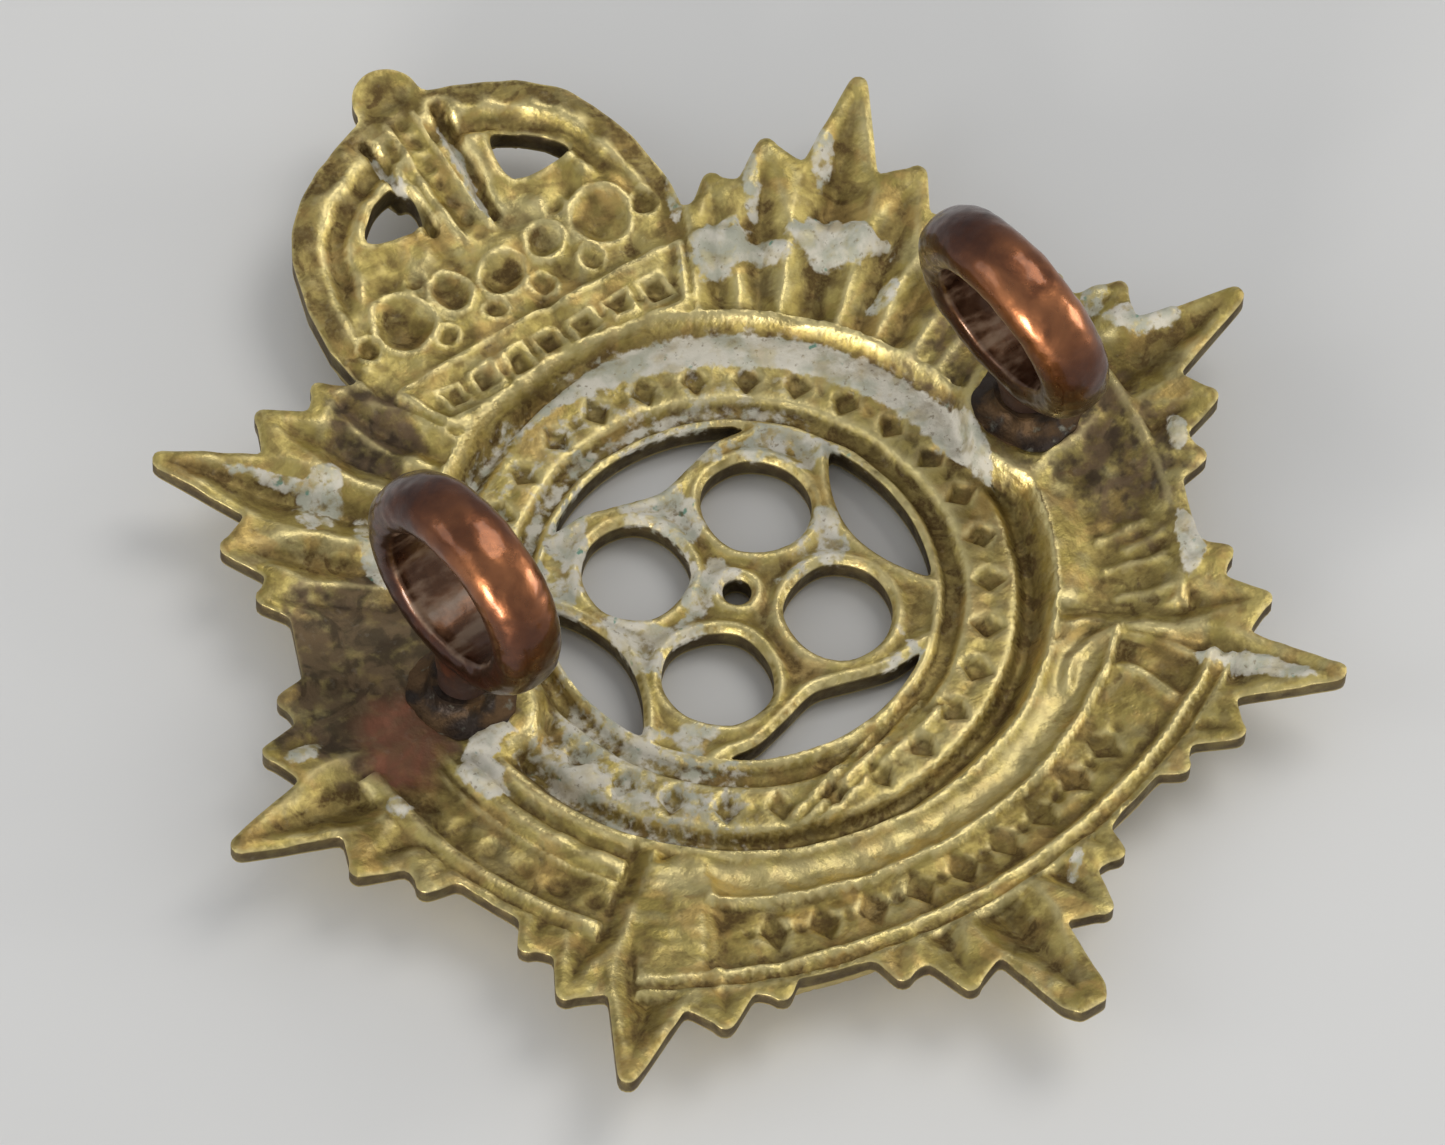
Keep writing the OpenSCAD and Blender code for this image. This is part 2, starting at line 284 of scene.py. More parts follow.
def window_field(x, y):
    """Distance to the window's openings, positive inside one: four petals, four crescents and a hub hole."""
    across, above = np.abs(x), np.abs(y - BELT_Y)
    radius = belt_radius_at(x, y)
    top = closed_curve([(0, TOP_CRESCENT_Y)] + TOP_CRESCENT + mirrored(TOP_CRESCENT))
    side = closed_curve([(SIDE_CRESCENT_X, 0)] + SIDE_CRESCENT + flipped(SIDE_CRESCENT))
    crescents = np.maximum(in_polygon(across, above, top), in_polygon(across, above, side))
    return np.maximum.reduce([
        HUB_HOLE - radius,
        in_polygon(across, above, closed_curve(PETAL)),
        np.minimum(crescents, WINDOW_RADIUS - radius),
    ])


def middle_length_field(x, y):
    across = np.abs(x)
    sides = in_polygon(across, y, [(-5, -7.8), (9.5, -7.8), (11.2, -9.6), (16.4, -18), (-5, -18)])
    return np.minimum.reduce([
        -past_arc(x, y, EDGE_ARC),
        sides,
        belt_radius_at(x, y) - BELT_RADIUS - SCROLL_GAP,
    ])


def side_length_field(x, y):
    """The scroll's two side lengths, which run down from the ends of the level through the belt's centre."""
    radius = belt_radius_at(x, y)
    turn = np.arctan2(BELT_Y - y, np.abs(x))
    return np.minimum.reduce([
        SCROLL_RADIUS - radius,
        radius - BELT_RADIUS - SCROLL_GAP,
        turn * radius,
        (math.radians(SCROLL_TURN) - turn) * radius,
    ])


def metal_field(x, y):
    """Distance to the plate's outline, positive in the metal."""
    outline = np.maximum.reduce([
        in_polygon(x, y, star_points()),
        crown_field(x, y),
        orb_field(x, y),
        middle_length_field(x, y),
        side_length_field(x, y),
    ])
    return np.minimum(outline, -np.maximum(window_field(x, y), crown_hole_field(x, y)))


# ---- Relief: heights of the back and the front ----

def dish_z(radius):
    return DISH_FLOOR + DISH_RADIUS - np.sqrt(DISH_RADIUS**2 - radius**2)


def seat_z(foot):
    return float(dish_z(math.hypot(*foot))) + 0.05


def all_rays():
    """Angle, reach and half-width of the groove behind each ray."""
    for group in GROUP_ANGLES:
        yield group, LONG_RAY - 0.5, 1.4
        for side in (-1, 1):
            yield group + side * NEAR_ANGLE, NEAR_RAY - 0.4, 1.1
            yield group + side * FAR_ANGLE, FAR_RAY - 0.4, 0.95
            yield group + side * PLAIN_ANGLE, PLAIN_EDGE - 0.4, 0.6


def across_ray(x, y, angle):
    """Distance out along a ray's centre line, and to its side."""
    c, s = polar(1, angle)
    return x * c + y * s, y * c - x * s


def star_relief(x, y):
    """Two-faceted grooves behind the rays, with crests between them."""
    groove = np.zeros(x.shape)
    for angle, reach, widest in all_rays():
        out, aside = across_ray(x, y, angle)
        half_width = np.clip(0.36 * (reach - out), 0, widest)
        groove = np.maximum(groove, np.where(out > 8, 0.62 * (half_width - np.abs(aside)), 0))
    return -groove, -groove


# Profiles of the belt: radius, and height above the table
BELT_BACK = [
    (7.0, 1.5), (7.3, 1.48), (7.55, 1.0), (8.05, 1.0), (8.3, 1.42), (9.95, 1.42), (10.1, 1.36),
    (10.42, 0.9), (10.7, 0.92), (11.5, 2.4), (11.9, 2.45),
]
BELT_FRONT = [
    (7.1, 0.1), (8.1, 0.1), (8.3, 0.5), (10.1, 0.5), (10.3, 0.0), (11.0, 0.0), (11.2, 0.2),
    (11.5, 1.4), (12.0, 1.5),
]
BELT_LOZENGE_RADIUS = 9.15
STRAP_TAIL = [((-4.7, -9.4), (3.0, -6.9)), ((-3.6, -8.5), (2.2, -6.6)), ((-5.6, -9.9), (3.6, -7.6))]


def profile(table, distance):
    return np.interp(distance, [row[0] for row in table], [row[1] for row in table])


def lozenge_row(past, aside, half_step, half_height, half_width, pellet_reach):
    """1 in the middle of a lozenge and 0 on its outline, then the share of the pellets between lozenges."""
    lozenge = 1 - np.abs(past) / half_height - np.abs(aside) / half_width
    return lozenge, smooth(*pellet_reach, np.hypot(half_step - np.abs(aside), past))


def belt_relief(x, y):
    radius = belt_radius_at(x, y)
    step = math.tau / BELT_LOZENGES
    aside = (np.mod(np.arctan2(y - BELT_Y, x), step) - step / 2) * radius
    half_step = math.pi / BELT_LOZENGES * radius
    lozenge, pellet = lozenge_row(radius - BELT_LOZENGE_RADIUS, aside, half_step, 0.78, 0.62, (0.32, 0.08))
    back = profile(BELT_BACK, radius) - 0.32 * smooth(0, 0.45, lozenge) - 0.15 * pellet
    front = profile(BELT_FRONT, radius) - 0.45 * smooth(0, 0.25, lozenge) - 0.2 * pellet
    inside = smooth(10.3, 9.9, radius)
    for start, end in STRAP_TAIL:
        lift = ridge(to_segment(x, y, start, end), 0.24) * inside
        back = back + 0.3 * lift
    return back, front


def window_relief(opening):
    """Bars with rounded rims and a channel along the middle of their backs."""
    into_bar = -opening
    back = 1.36 + 0.18 * smooth(0, 0.2, into_bar) - 0.3 * smooth(0.22, 0.7, into_bar)
    front = 0.2 - 0.1 * smooth(0, 0.3, into_bar)
    return back, front


# Profiles of the scroll: distance in from the lower edge or radius, and height above the dish
MIDDLE_EDGE = [
    (0, -0.06), (0.12, 0.0), (0.3, -0.36), (0.5, -0.38), (0.72, -0.02), (0.85, -0.04),
    (1.15, -0.55), (1.4, -0.6),
]
SIDE_LEFT = [
    (11.5, 0.0), (11.8, -0.12), (12.0, -0.3), (12.3, -0.5), (12.5, -0.16), (12.9, -0.1), (13.3, -0.45),
    (13.5, -0.3), (13.7, -0.5), (15.2, -0.5), (15.5, 0.0), (15.75, -0.05), (16.2, -0.3),
]
# Raised bars and folds of the scroll, as lines
RIGHT_BARS = [
    ((11.3, -6.3), (13.3, -7.1)), ((11.9, -5.2), (13.6, -5.5)),
    ((11.2, -7.6), (12.7, -8.4)), ((12.5, -6.1), (13.9, -6.3)),
]
MIDDLE_FOLDS = [
    [(-7.9, -9.4), (-8.7, -10.8), (-9.5, -12.2), (-10.1, -13.4)],
    [(7.4, -9.6), (8.4, -8.7), (9.9, -8.7), (11.1, -9.9), (11.8, -11.1), (12.3, -12.2)],
    [(8.5, -10.2), (9.3, -10.0), (9.9, -10.9), (10.2, -12.2)],
]


def scroll_lozenge_depth(x, y):
    """Depth of the scroll's hollow lozenges and of the pellets between them."""
    centre_y, most = LOZENGE_ARC[0], SCROLL_LOZENGES // 2
    angle = np.degrees(np.arctan2(x, centre_y - y))
    nearest = np.clip(np.round(angle / LOZENGE_TURN), -most, most)
    aside = np.radians(angle - nearest * LOZENGE_TURN) * np.hypot(x, y - centre_y)
    past = past_arc(x, y, LOZENGE_ARC)
    lozenge, pellet = lozenge_row(past, aside, 0.91, 0.95, 0.7, (0.34, 0.12))
    return 0.27 * smooth(0, 0.45, lozenge) + 0.16 * pellet


def middle_relief(x, y):
    """Middle length of the scroll: a plain channel, a line, a lozenge band and a beaded edge."""
    edge = -past_arc(x, y, EDGE_ARC)
    line = past_arc(x, y, LINE_ARC)
    past_belt = belt_radius_at(x, y) - 11.5
    share = np.clip(past_belt / np.maximum(past_belt - line, 0.2), 0, 1)
    channel = -0.04 - 0.5 * np.sin(math.pi * share) ** 0.8
    band = profile(MIDDLE_EDGE, edge)
    back = np.where(line < 0, channel, np.minimum(band, 0))
    back = blend(back, np.maximum(back, -0.05), ridge(line, 0.22))

    back = back - scroll_lozenge_depth(x, y)
    folds = np.maximum.reduce([ridge(to_line(x, y, open_curve(points)), 0.36) for points in MIDDLE_FOLDS])
    back = back + 0.26 * folds

    # The left end is folded: a nearly level patch with fine hatching
    along, out = 0.85 * x - 0.53 * y, -0.53 * x - 0.85 * y
    folded_end = smooth(-1.6, -2.0, along) * smooth(0.5, 1.1, edge)
    hatching = 0.025 * np.sin(10.5 * out + 2.5 * wobble(x, y, 0.8, 24))
    back = blend(back, -0.14 + hatching, folded_end)
    return back, 1.15 * back - 0.35


def side_relief(x, y):
    """Side lengths of the scroll: lengthwise bands on the left, a smooth pad with a few bars on the right."""
    radius = belt_radius_at(x, y)
    angle = np.degrees(np.arctan2(BELT_Y - y, np.abs(x)))
    pellets = smooth(0.5, 0.1, np.hypot((np.mod(angle, 5.5) - 2.75) * 0.255, radius - 14.45))
    left = profile(SIDE_LEFT, radius) - 0.2 * pellets
    bars = sum(ridge(to_segment(x, y, a, b), 0.34) for a, b in RIGHT_BARS)
    hollow = smooth(11.6, 13.2, radius) * smooth(16.0, 14.6, radius) * smooth(0, 8, angle)
    right = -0.15 - 0.5 * hollow + 0.2 * bars
    right = blend(right, 0.0, ridge(radius - 15.95, 0.4))
    back = np.where(x < 0, left, right)
    return back, 1.1 * np.where(x < 0, left, profile(SIDE_LEFT, radius)) - 0.3


# The crown's profile in from its edge, its bosses, pellets and grooves
CROWN_ARCH = [
    (0, -0.34), (0.12, -0.22), (0.95, -0.03), (1.08, 0.0), (1.45, -0.42), (1.85, -0.42),
    (2.1, -0.12), (2.6, -0.2),
]
CROWN_BOSSES = [(-4.3, 16.0, 1.15), (4.3, 16.0, 1.15), (-2.0, 16.2, 0.75), (2.0, 16.2, 0.75), (0, 15.9, 0.85)]
PELLET_PLACES = [(3.0, 17.3), (6.0, 15.7), (1.0, 14.8), (3.1, 14.7)]
CROWN_PELLETS = [(side * x, y) for x, y in PELLET_PLACES for side in (-1, 1)]
PELLET_RADIUS = 0.48
CROWN_GROOVES = [((-1.65, 22.6), (-1.2, 18.6), 0.36), ((1.5, 22.5), (0.95, 18.1), 0.44)]
JEWEL_Y = 12.62
BEAD_STEP = 0.86


def crown_arches(x, y, rim, hole):
    """Two arches and a beaded centre rib."""
    arches = profile(CROWN_ARCH, rim) + 0.14 * ridge(-hole - 0.12, 0.24)
    for start, end, half_width in CROWN_GROOVES:
        arches = arches - 0.62 * smooth(half_width, 0.05, to_segment(x, y, start, end))
    rib = smooth(0.75, 0.6, np.abs(x)) * smooth(17.2, 17.6, y) * smooth(23.0, 22.6, y)
    beads = smooth(0.36, 0.1, np.hypot(x, np.mod(y - 17.9, BEAD_STEP) - BEAD_STEP / 2))
    return blend(arches, 0.06 - 0.3 * smooth(0.58, 0.4, np.abs(x)) - 0.22 * beads, rib)


def crown_cap(x, y):
    """Row of bosses with pellets among them."""
    cap = np.full(x.shape, -0.34)
    for *place, radius in CROWN_BOSSES:
        into = radius - away_from(x, y, place)
        cap = cap + 0.2 * ridge(into + 0.05, 0.22) - 0.3 * smooth(0.0, 0.8 * radius, into)
    for place in CROWN_PELLETS:
        into = PELLET_RADIUS - away_from(x, y, place)
        cap = cap + 0.16 * ridge(into, 0.16) - 0.18 * smooth(0, 0.4, into)
    return cap


def crown_band(x, level, rim):
    """Band of square jewels with pearls between them."""
    most = CROWN_JEWELS // 2
    aside = np.abs(x - np.clip(np.round(x / JEWEL_STEP), -most, most) * JEWEL_STEP)
    into = 0.43 - np.maximum(aside, np.abs(level - JEWEL_Y))
    pearl = smooth(0.26, 0.08, np.hypot(aside - JEWEL_STEP / 2, level - JEWEL_Y))
    band = -0.3 + 0.14 * ridge(into + 0.06, 0.14) - 0.26 * smooth(0, 0.26, into) - 0.16 * pearl
    band = band + 0.26 * ridge(level - 13.85, 0.2) + 0.24 * ridge(level - 11.7, 0.22)
    return blend(band, 0.0, ridge(rim - 0.3, 0.3))


def crown_relief(x, y, rim, hole):
    """Arches above, a row of bosses, and a jewelled band below."""
    level = y + 0.008 * x * x
    arches = crown_arches(x, y, rim, hole)
    back = blend(crown_cap(x, y), arches, smooth(17.3, 17.9, y + 0.25 * np.cos(x * 2.2)))
    back = blend(back, arches, smooth(1.5, 0.9, rim) * smooth(15.6, 16.6, y))
    back = blend(crown_band(x, level, rim), back, smooth(13.75, 14.1, level))
    return back, 1.15 * back - 0.3


def orb_relief(orb):
    back = -0.12 - 0.25 * smooth(0.1, 0.7, orb)
    return back, -0.55 * smooth(0, 0.9, orb) - 0.1


# White and grey residue: centre, half-length, half-width, turn in degrees and thickness.
RESIDUE = [
    ((7.3, 12.5), 1.6, 1.1, -18, 0.38), ((8.6, 11.7), 1.3, 0.6, -35, 0.2),
    ((11.0, 10.6), 1.9, 1.0, -52, 0.4), ((11.2, 7.6), 0.9, 0.45, 20, 0.12),
    ((13.1, -12.8), 2.1, 0.42, -53, 0.3), ((14.3, -7.3), 1.35, 0.5, 62, 0.2),
    ((16.6, -3.3), 0.75, 0.38, 75, 0.2), ((18.4, 1.4), 1.5, 0.6, -30, 0.18),
    ((17.3, 3.0), 0.8, 0.5, 40, 0.12), ((-9.1, -3.1), 0.9, 0.65, -40, 0.25),
    ((-12.3, -1.6), 0.85, 0.75, -50, 0.28), ((-11.4, -0.5), 1.1, 0.5, 10, 0.2),
    ((-11.0, 11.2), 1.4, 0.8, 40, 0.1), ((-12.0, 12.8), 2.0, 0.3, -45, 0.1),
    ((-17.2, 2.3), 0.9, 0.35, 10, 0.12), ((12.5, 13.6), 1.0, 0.35, 52, 0.08),
    ((1.0, 20.3), 2.1, 0.24, 84, 0.25), ((-1.5, 21.2), 1.2, 0.2, 96, 0.15),
    ((3.0, -16.3), 0.8, 0.3, 35, 0.12), ((-10.4, 8.6), 1.6, 0.5, 70, 0.12),
    ((9.6, 13.9), 1.5, 0.28, 62, 0.1), ((7.0, 15.2), 1.1, 0.22, 66, 0.08),
    ((-15.6, -1.2), 0.5, 0.4, 0, 0.1),
]


def residue_field(x, y):
    """How far into residue a point lies, from 0 to 1, and how thick it is there."""
    ragged = 0.28 * wobble(x, y, 0.9, 3) + 0.16 * wobble(x, y, 0.35, 4)
    cover = np.zeros(x.shape)
    thickness = np.zeros(x.shape)
    for (cx, cy), length, width, turn, thick in RESIDUE:
        c, s = polar(1, turn)
        along = ((x - cx) * c + (y - cy) * s) / length
        aside = ((y - cy) * c - (x - cx) * s) / width
        into = 1.15 - np.hypot(along, aside) + ragged
        cover = np.maximum(cover, smooth(0, 0.3, into) * min(0.5 + 2 * thick, 1))
        thickness = np.maximum(thickness, thick * smooth(0, 0.6, into))
    return cover, thickness


def belt_residue(x, y):
    """Residue on the belt and bars: a thick crescent at the upper right, and the thin coats elsewhere."""
    radius = belt_radius_at(x, y)
    angle = np.degrees(np.arctan2(y - BELT_Y, x))
    ragged = 0.3 * wobble(x, y, 0.8, 5) + 0.2 * wobble(x, y, 0.3, 6)
    swell = smooth(-14, 6, angle) * smooth(128, 66, angle)
    crescent = smooth(0, 0.3, 0.84 * swell - np.abs(radius - 10.3) + 0.1 * ragged) * (swell > 0.02)
    lower_left = smooth(-178, -168, angle) * smooth(-112, -135, angle)
    upper = smooth(172, 150, angle) * smooth(25, 60, angle) * 0.75
    grooves = np.maximum(ridge(radius - 7.8, 0.5), ridge(radius - 10.45, 0.5))
    coat = np.maximum(lower_left, np.where(angle > 165, 0.8, 0)) * smooth(11.1, 10.8, radius)
    thin = np.maximum(coat * (0.55 + ragged), upper * (grooves * 0.7 + 0.25 + ragged))
    thin = thin * smooth(11.2, 10.9, radius)
    on_bars = smooth(0.05, 0.45, wobble(x, y, 1.3, 8) + 0.4 * wobble(x, y, 0.5, 9) + 0.05 * (y - x))
    return crescent, np.clip(np.where(radius > 7.2, thin, 0.8 * on_bars), 0, 1)


def struck_relief(x, y):
    """Heights of the plate's back and front as struck, with each region laid over the star."""
    dish = dish_z(np.hypot(x, y))
    star_back, star_front = star_relief(x, y)
    back = dish + star_back
    front = dish - SHEET + star_front

    def lay(region, heights, under=(dish, dish - SHEET), ease=0.1):
        nonlocal back, front
        share = smooth(-ease, ease, region)
        back = blend(back, under[0] + heights[0], share)
        front = blend(front, under[1] + heights[1], share)

    bent_x = x + 0.13 * wobble(x, y, 1.1, 21)
    bent_y = y + 0.13 * wobble(x, y, 1.1, 22)
    near_x, near_y = blend(x, bent_x, 0.4), blend(y, bent_y, 0.4)
    crown, orb, radius = crown_field(x, y), orb_field(x, y), belt_radius_at(x, y)
    lay(side_length_field(x, y), side_relief(near_x, near_y))
    lay(middle_length_field(x, y), middle_relief(near_x, near_y))
    lay(orb, orb_relief(orb))
    lay(crown, crown_relief(bent_x, bent_y, np.maximum(crown, 0), crown_hole_field(x, y)))
    lay(11.6 - radius, belt_relief(near_x, near_y), under=(0, 0), ease=0.05)
    lay(7.12 - radius, window_relief(window_field(x, y)), under=(0, 0))
    return back, front


# Spots in the relief: a level patch by the left foot, a round hollow and the pads under the loops
WORN_FLAT = ((-13.2, 3.4), (0.95, 1), 0.5, 4.4, 2.6, 0.75)
ROUND_HOLLOW_PLACE = (-7.6, 12.9)
ROUND_HOLLOW = (ROUND_HOLLOW_PLACE, (1, 1), 0.3, 1.9, 1.2, 0.4)
PADS = [(LEFT_FOOT, (1, 1), 0.5, 3.4, 2.45, 1), (RIGHT_FOOT, (1, 1), 0.5, 3.2, 2.45, 1)]


def relief(x, y):
    """Heights of the back and the front with dents, wear, pads and residue, and the residue's share."""
    back, front = struck_relief(x, y)
    dish = dish_z(np.hypot(x, y))
    hand_made = 0.05 * wobble(x, y, 1.7, 1) + 0.05 * wobble(x, y, 0.65, 2)
    hand_made = hand_made * (1 + smooth(0, 0.6, np.maximum(crown_field(x, y), 0)))
    outside_belt = smooth(11.0, 12.0, belt_radius_at(x, y))
    back = back + hand_made * (0.5 + outside_belt)
    front = front + 0.25 * hand_made * outside_belt
    worn_flat = in_spot(x, y, wobble(x, y, 1.2, 10), WORN_FLAT)
    back = blend(back, dish - 0.3 + hand_made, worn_flat * outside_belt)
    back = back - in_spot(x, y, wobble(x, y, 1.2, 23), ROUND_HOLLOW) * outside_belt
    for pad in PADS:
        back = blend(back, seat_z(pad[0]), in_spot(x, y, wobble(x, y, 1.4, 7), pad))

    cover, thickness = residue_field(x, y)
    crescent, coat = belt_residue(x, y)
    back = back + thickness
    back = blend(back, np.maximum(back, 1.5), crescent)
    back = back + 0.05 * coat
    front = np.minimum(front, back - 0.45)
    return back, front, np.maximum.reduce([cover, crescent, coat])


# ---- The plate's mesh ----

def crease_families(x, y):
    """Fields with the levels where the relief has a crease, and where each family counts."""
    radius = belt_radius_at(x, y)
    middle = middle_length_field(x, y) > 0.1
    crown = (crown_field(x, y) > 0.1) & (y > 17)
    yield radius, [7.55, 8.05, 8.3, 10.1, 10.42, 10.7, 11.5], (radius > 7.3) & (radius < 11.7)
    yield -past_arc(x, y, EDGE_ARC), [0.12, 0.3, 0.5, 0.72, 0.85, 1.15], middle
    yield np.hypot(x, y - LINE_ARC[0]), [LINE_ARC[1]], middle
    yield crown_field(x, y), [0.95, 1.08, 1.45, 1.85], crown
    outside = (radius > 11.8) & ~middle & ~crown & (side_length_field(x, y) < 0)
    for angle, reach, widest in all_rays():
        out, aside = across_ray(x, y, angle)
        yield aside, [0], outside & (out > 10) & (out < reach) & (np.abs(aside) < widest)


def snapped_grid():
    """Grid of points, some moved onto the outline and onto creases, with the metal field at each."""
    x, y = np.meshgrid(COLUMNS, ROWS)
    field = blurred(metal_field(x, y), 0.9)
    slope_y, slope_x = np.gradient(field, PITCH)
    steepness = np.maximum(slope_x**2 + slope_y**2, 0.3)
    near = np.abs(field) < 0.4 * PITCH
    shift_x = np.where(near, -field * slope_x / steepness, 0)
    shift_y = np.where(near, -field * slope_y / steepness, 0)
    free = field > 0.9 * PITCH
    for crease, levels, where in crease_families(x, y):
        offset = crease - np.array(levels)[np.abs(crease[..., None] - np.array(levels)).argmin(-1)]
        slope_y, slope_x = np.gradient(crease, PITCH)
        moved = free & where & (np.abs(offset) < 0.42 * PITCH)
        shift_x = np.where(moved, -offset * slope_x, shift_x)
        shift_y = np.where(moved, -offset * slope_y, shift_y)
        free = free & ~moved
    return x + shift_x, y + shift_y, np.where(near, 0, field)


def cell_outline(corners, field, crossing):
    """Corner and edge points round the metal part of one cell that the outline crosses."""
    outline = []
    for a, b in zip(corners, corners[1:] + corners[:1]):
        if field[a] >= 0:
            outline.append(a)
        if field[a] * field[b] < 0:
            outline.append(crossing(a, b))
    return outline


def cut_cells(x, y, flat, cells):
    """Points of the grid and of the outline's crossings, and triangles in the cut cells."""
    points = [x.ravel(), y.ravel()]
    extra = []
    known = {}

    def crossing(p, q):
        key = (min(p, q), max(p, q))
        if key not in known:
            t = flat[key[0]] / (flat[key[0]] - flat[key[1]])
            extra.append([blend(values[key[0]], values[key[1]], t) for values in points])
            known[key] = x.size + len(extra) - 1
        return known[key]

    triangles = []
    for corners in cells:
        outline = cell_outline(corners, flat, crossing)
        triangles += [(outline[0], outline[k], outline[k + 1]) for k in range(1, len(outline) - 1)]
    px, py = (np.concatenate([values, [e[k] for e in extra]]) for k, values in enumerate(points))
    return px, py, np.array(triangles)


def split_quads(px, py, back, quads):
    """Two triangles for each whole cell, cut along the diagonal that lies closer to the relief."""
    middle_height = relief(px[quads].mean(1), py[quads].mean(1))[0]
    error_ac = np.abs(back[quads[:, [0, 2]]].mean(1) - middle_height)
    error_bd = np.abs(back[quads[:, [1, 3]]].mean(1) - middle_height)
    by_ac = (error_ac <= error_bd)[:, None]
    first = np.where(by_ac, quads[:, [0, 1, 2]], quads[:, [0, 1, 3]])
    second = np.where(by_ac, quads[:, [0, 2, 3]], quads[:, [1, 2, 3]])
    return first, second


def plate_triangles(x, y, field):
    """Points and triangles that cover the metal seen from the back, and the coarser ones for the front."""
    flat = field.ravel()
    number = np.arange(x.size).reshape(x.shape)
    corners = (number[:-1, :-1], number[:-1, 1:], number[1:, 1:], number[1:, :-1])
    has_metal = np.stack([flat[k] > 0 for k in corners]).any(0)
    whole = np.stack([flat[k] >= 0 for k in corners]).all(0) & has_metal
    cut = np.stack([k[has_metal & ~whole] for k in corners], 1)
    px, py, cut_triangles = cut_cells(x, y, flat, cut.tolist())

    back, front, residue = relief(px, py)
    inward = np.zeros(len(px))
    inward[:len(flat)] = np.maximum(flat, 0)
    back = back - EDGE_WEAR * smooth(EDGE_WEAR, 0, inward)
    front = front + FRONT_ROUNDING * smooth(FRONT_ROUNDING, 0, inward)
    first, second = split_quads(px, py, back, np.stack([k[whole] for k in corners], 1))
    back_triangles = np.concatenate([first, second, cut_triangles])
    front_triangles = np.concatenate([coarse_triangles(whole, number, first, second), cut_triangles])
    return px, py, back, front, residue, back_triangles, front_triangles


def coarse_triangles(whole, number, first, second):
    """Whole blocks of two by two cells become fans about their centres; others keep their two triangles."""
    rows, columns = (size // 2 for size in whole.shape)
    block = whole[:rows * 2, :columns * 2].reshape(rows, 2, columns, 2).all((1, 3))
    framed = np.pad(block, 1)
    in_block = np.zeros(whole.shape, bool)
    in_block[:rows * 2, :columns * 2] = block.repeat(2, 0).repeat(2, 1)
    single = ~in_block[whole]
    fans = [first[single], second[single]]
    i, j = np.nonzero(block)
    corner = [(0, 0), (0, 2), (2, 2), (2, 0)]
    neighbour = [(-1, 0), (0, 1), (1, 0), (0, -1)]
    centre = number[2 * i + 1, 2 * j + 1]
    for side in range(4):
        (ai, aj), (bi, bj) = corner[side], corner[(side + 1) % 4]
        start = number[2 * i + ai, 2 * j + aj]
        end = number[2 * i + bi, 2 * j + bj]
        half = number[2 * i + (ai + bi) // 2, 2 * j + (aj + bj) // 2]
        step_i, step_j = neighbour[side]
        plain = framed[i + 1 + step_i, j + 1 + step_j]
        fans.append(np.stack([start, end, centre], 1)[plain])
        fans.append(np.stack([start, half, centre], 1)[~plain])
        fans.append(np.stack([half, end, centre], 1)[~plain])
    return np.concatenate(fans)


def rim_edges(triangles):
    """Directed edges that belong to only one triangle."""
    edges = np.concatenate([triangles[:, [0, 1]], triangles[:, [1, 2]], triangles[:, [2, 0]]])
    key = np.sort(edges, 1)
    _, place, count = np.unique(key, axis=0, return_index=True, return_counts=True)
    return edges[place[count == 1]]


def eased_normals(points, triangles, passes=2):
    """Normals of a surface, averaged with their neighbours' so that the grid doesn't show in the shading."""
    a, b, c = (points[triangles[:, k]] for k in range(3))
    facing = np.cross(b - a, c - a)

    def gathered(values):
        return sum(np.bincount(triangles[:, k], values, len(points)) for k in range(3))

    for _ in range(passes + 1):
        normals = np.stack([gathered(facing[:, axis]) for axis in range(3)], 1)
        normals /= np.maximum(np.linalg.norm(normals, axis=1), 1e-12)[:, None]
        facing = normals[triangles].mean(1)
    return normals


def rim_walls(edges, rim, count):
    """Wall triangles from the back's rim through a middle row of points to the front's rim."""
    middle_of = np.full(count, -1)
    middle_of[rim] = 2 * count + np.arange(len(rim))
    p, q = edges[:, 0], edges[:, 1]
    levels = [(p, q), (middle_of[p], middle_of[q]), (p + count, q + count)]
    walls = []
    for (top_p, top_q), (bottom_p, bottom_q) in zip(levels, levels[1:]):
        walls.append(np.stack([top_q, top_p, bottom_p], 1))
        walls.append(np.stack([top_q, bottom_p, bottom_q], 1))
    return walls


def make_plate():
    """Back, front and the walls between them as one closed mesh."""
    px, py, back, front, residue, back_triangles, front_triangles = plate_triangles(*snapped_grid())
    edges = rim_edges(back_triangles)
    rim = np.unique(edges)
    count = len(px)
    front_triangles = front_triangles[:, ::-1] + count
    triangles = np.concatenate([back_triangles, front_triangles, *rim_walls(edges, rim, count)])
    points = np.concatenate([
        np.stack([px, py, back], 1),
        np.stack([px, py, front], 1),
        np.stack([px[rim], py[rim], blend(back[rim], front[rim], 0.5)], 1),
    ])
    faces = len(back_triangles) + len(front_triangles)
    corner_normals = np.zeros((len(triangles), 3, 3))
    corner_normals[:faces] = eased_normals(points, triangles[:faces])[triangles[:faces]]
    used, triangles = np.unique(triangles, return_inverse=True)
    triangles = triangles.reshape(-1, 3)
    edge_share = np.zeros(count)
    edge_share[rim] = 1
    marks = plate_marks(px, py, residue, edge_share)
    for name, (values, on_front) in marks.items():
        marks[name] = np.concatenate([values, values * on_front, values[rim] * on_front])[used]
    marks["side"] = np.concatenate([np.zeros(count), np.ones(count), np.full(len(rim), 0.5)])[used]
    plate = mesh_object("plate_relief", points[used] + (0, STAR_Y, 0), triangles, marks)
    plate.data.normals_split_custom_set(corner_normals.reshape(-1, 3).tolist())
    return plate


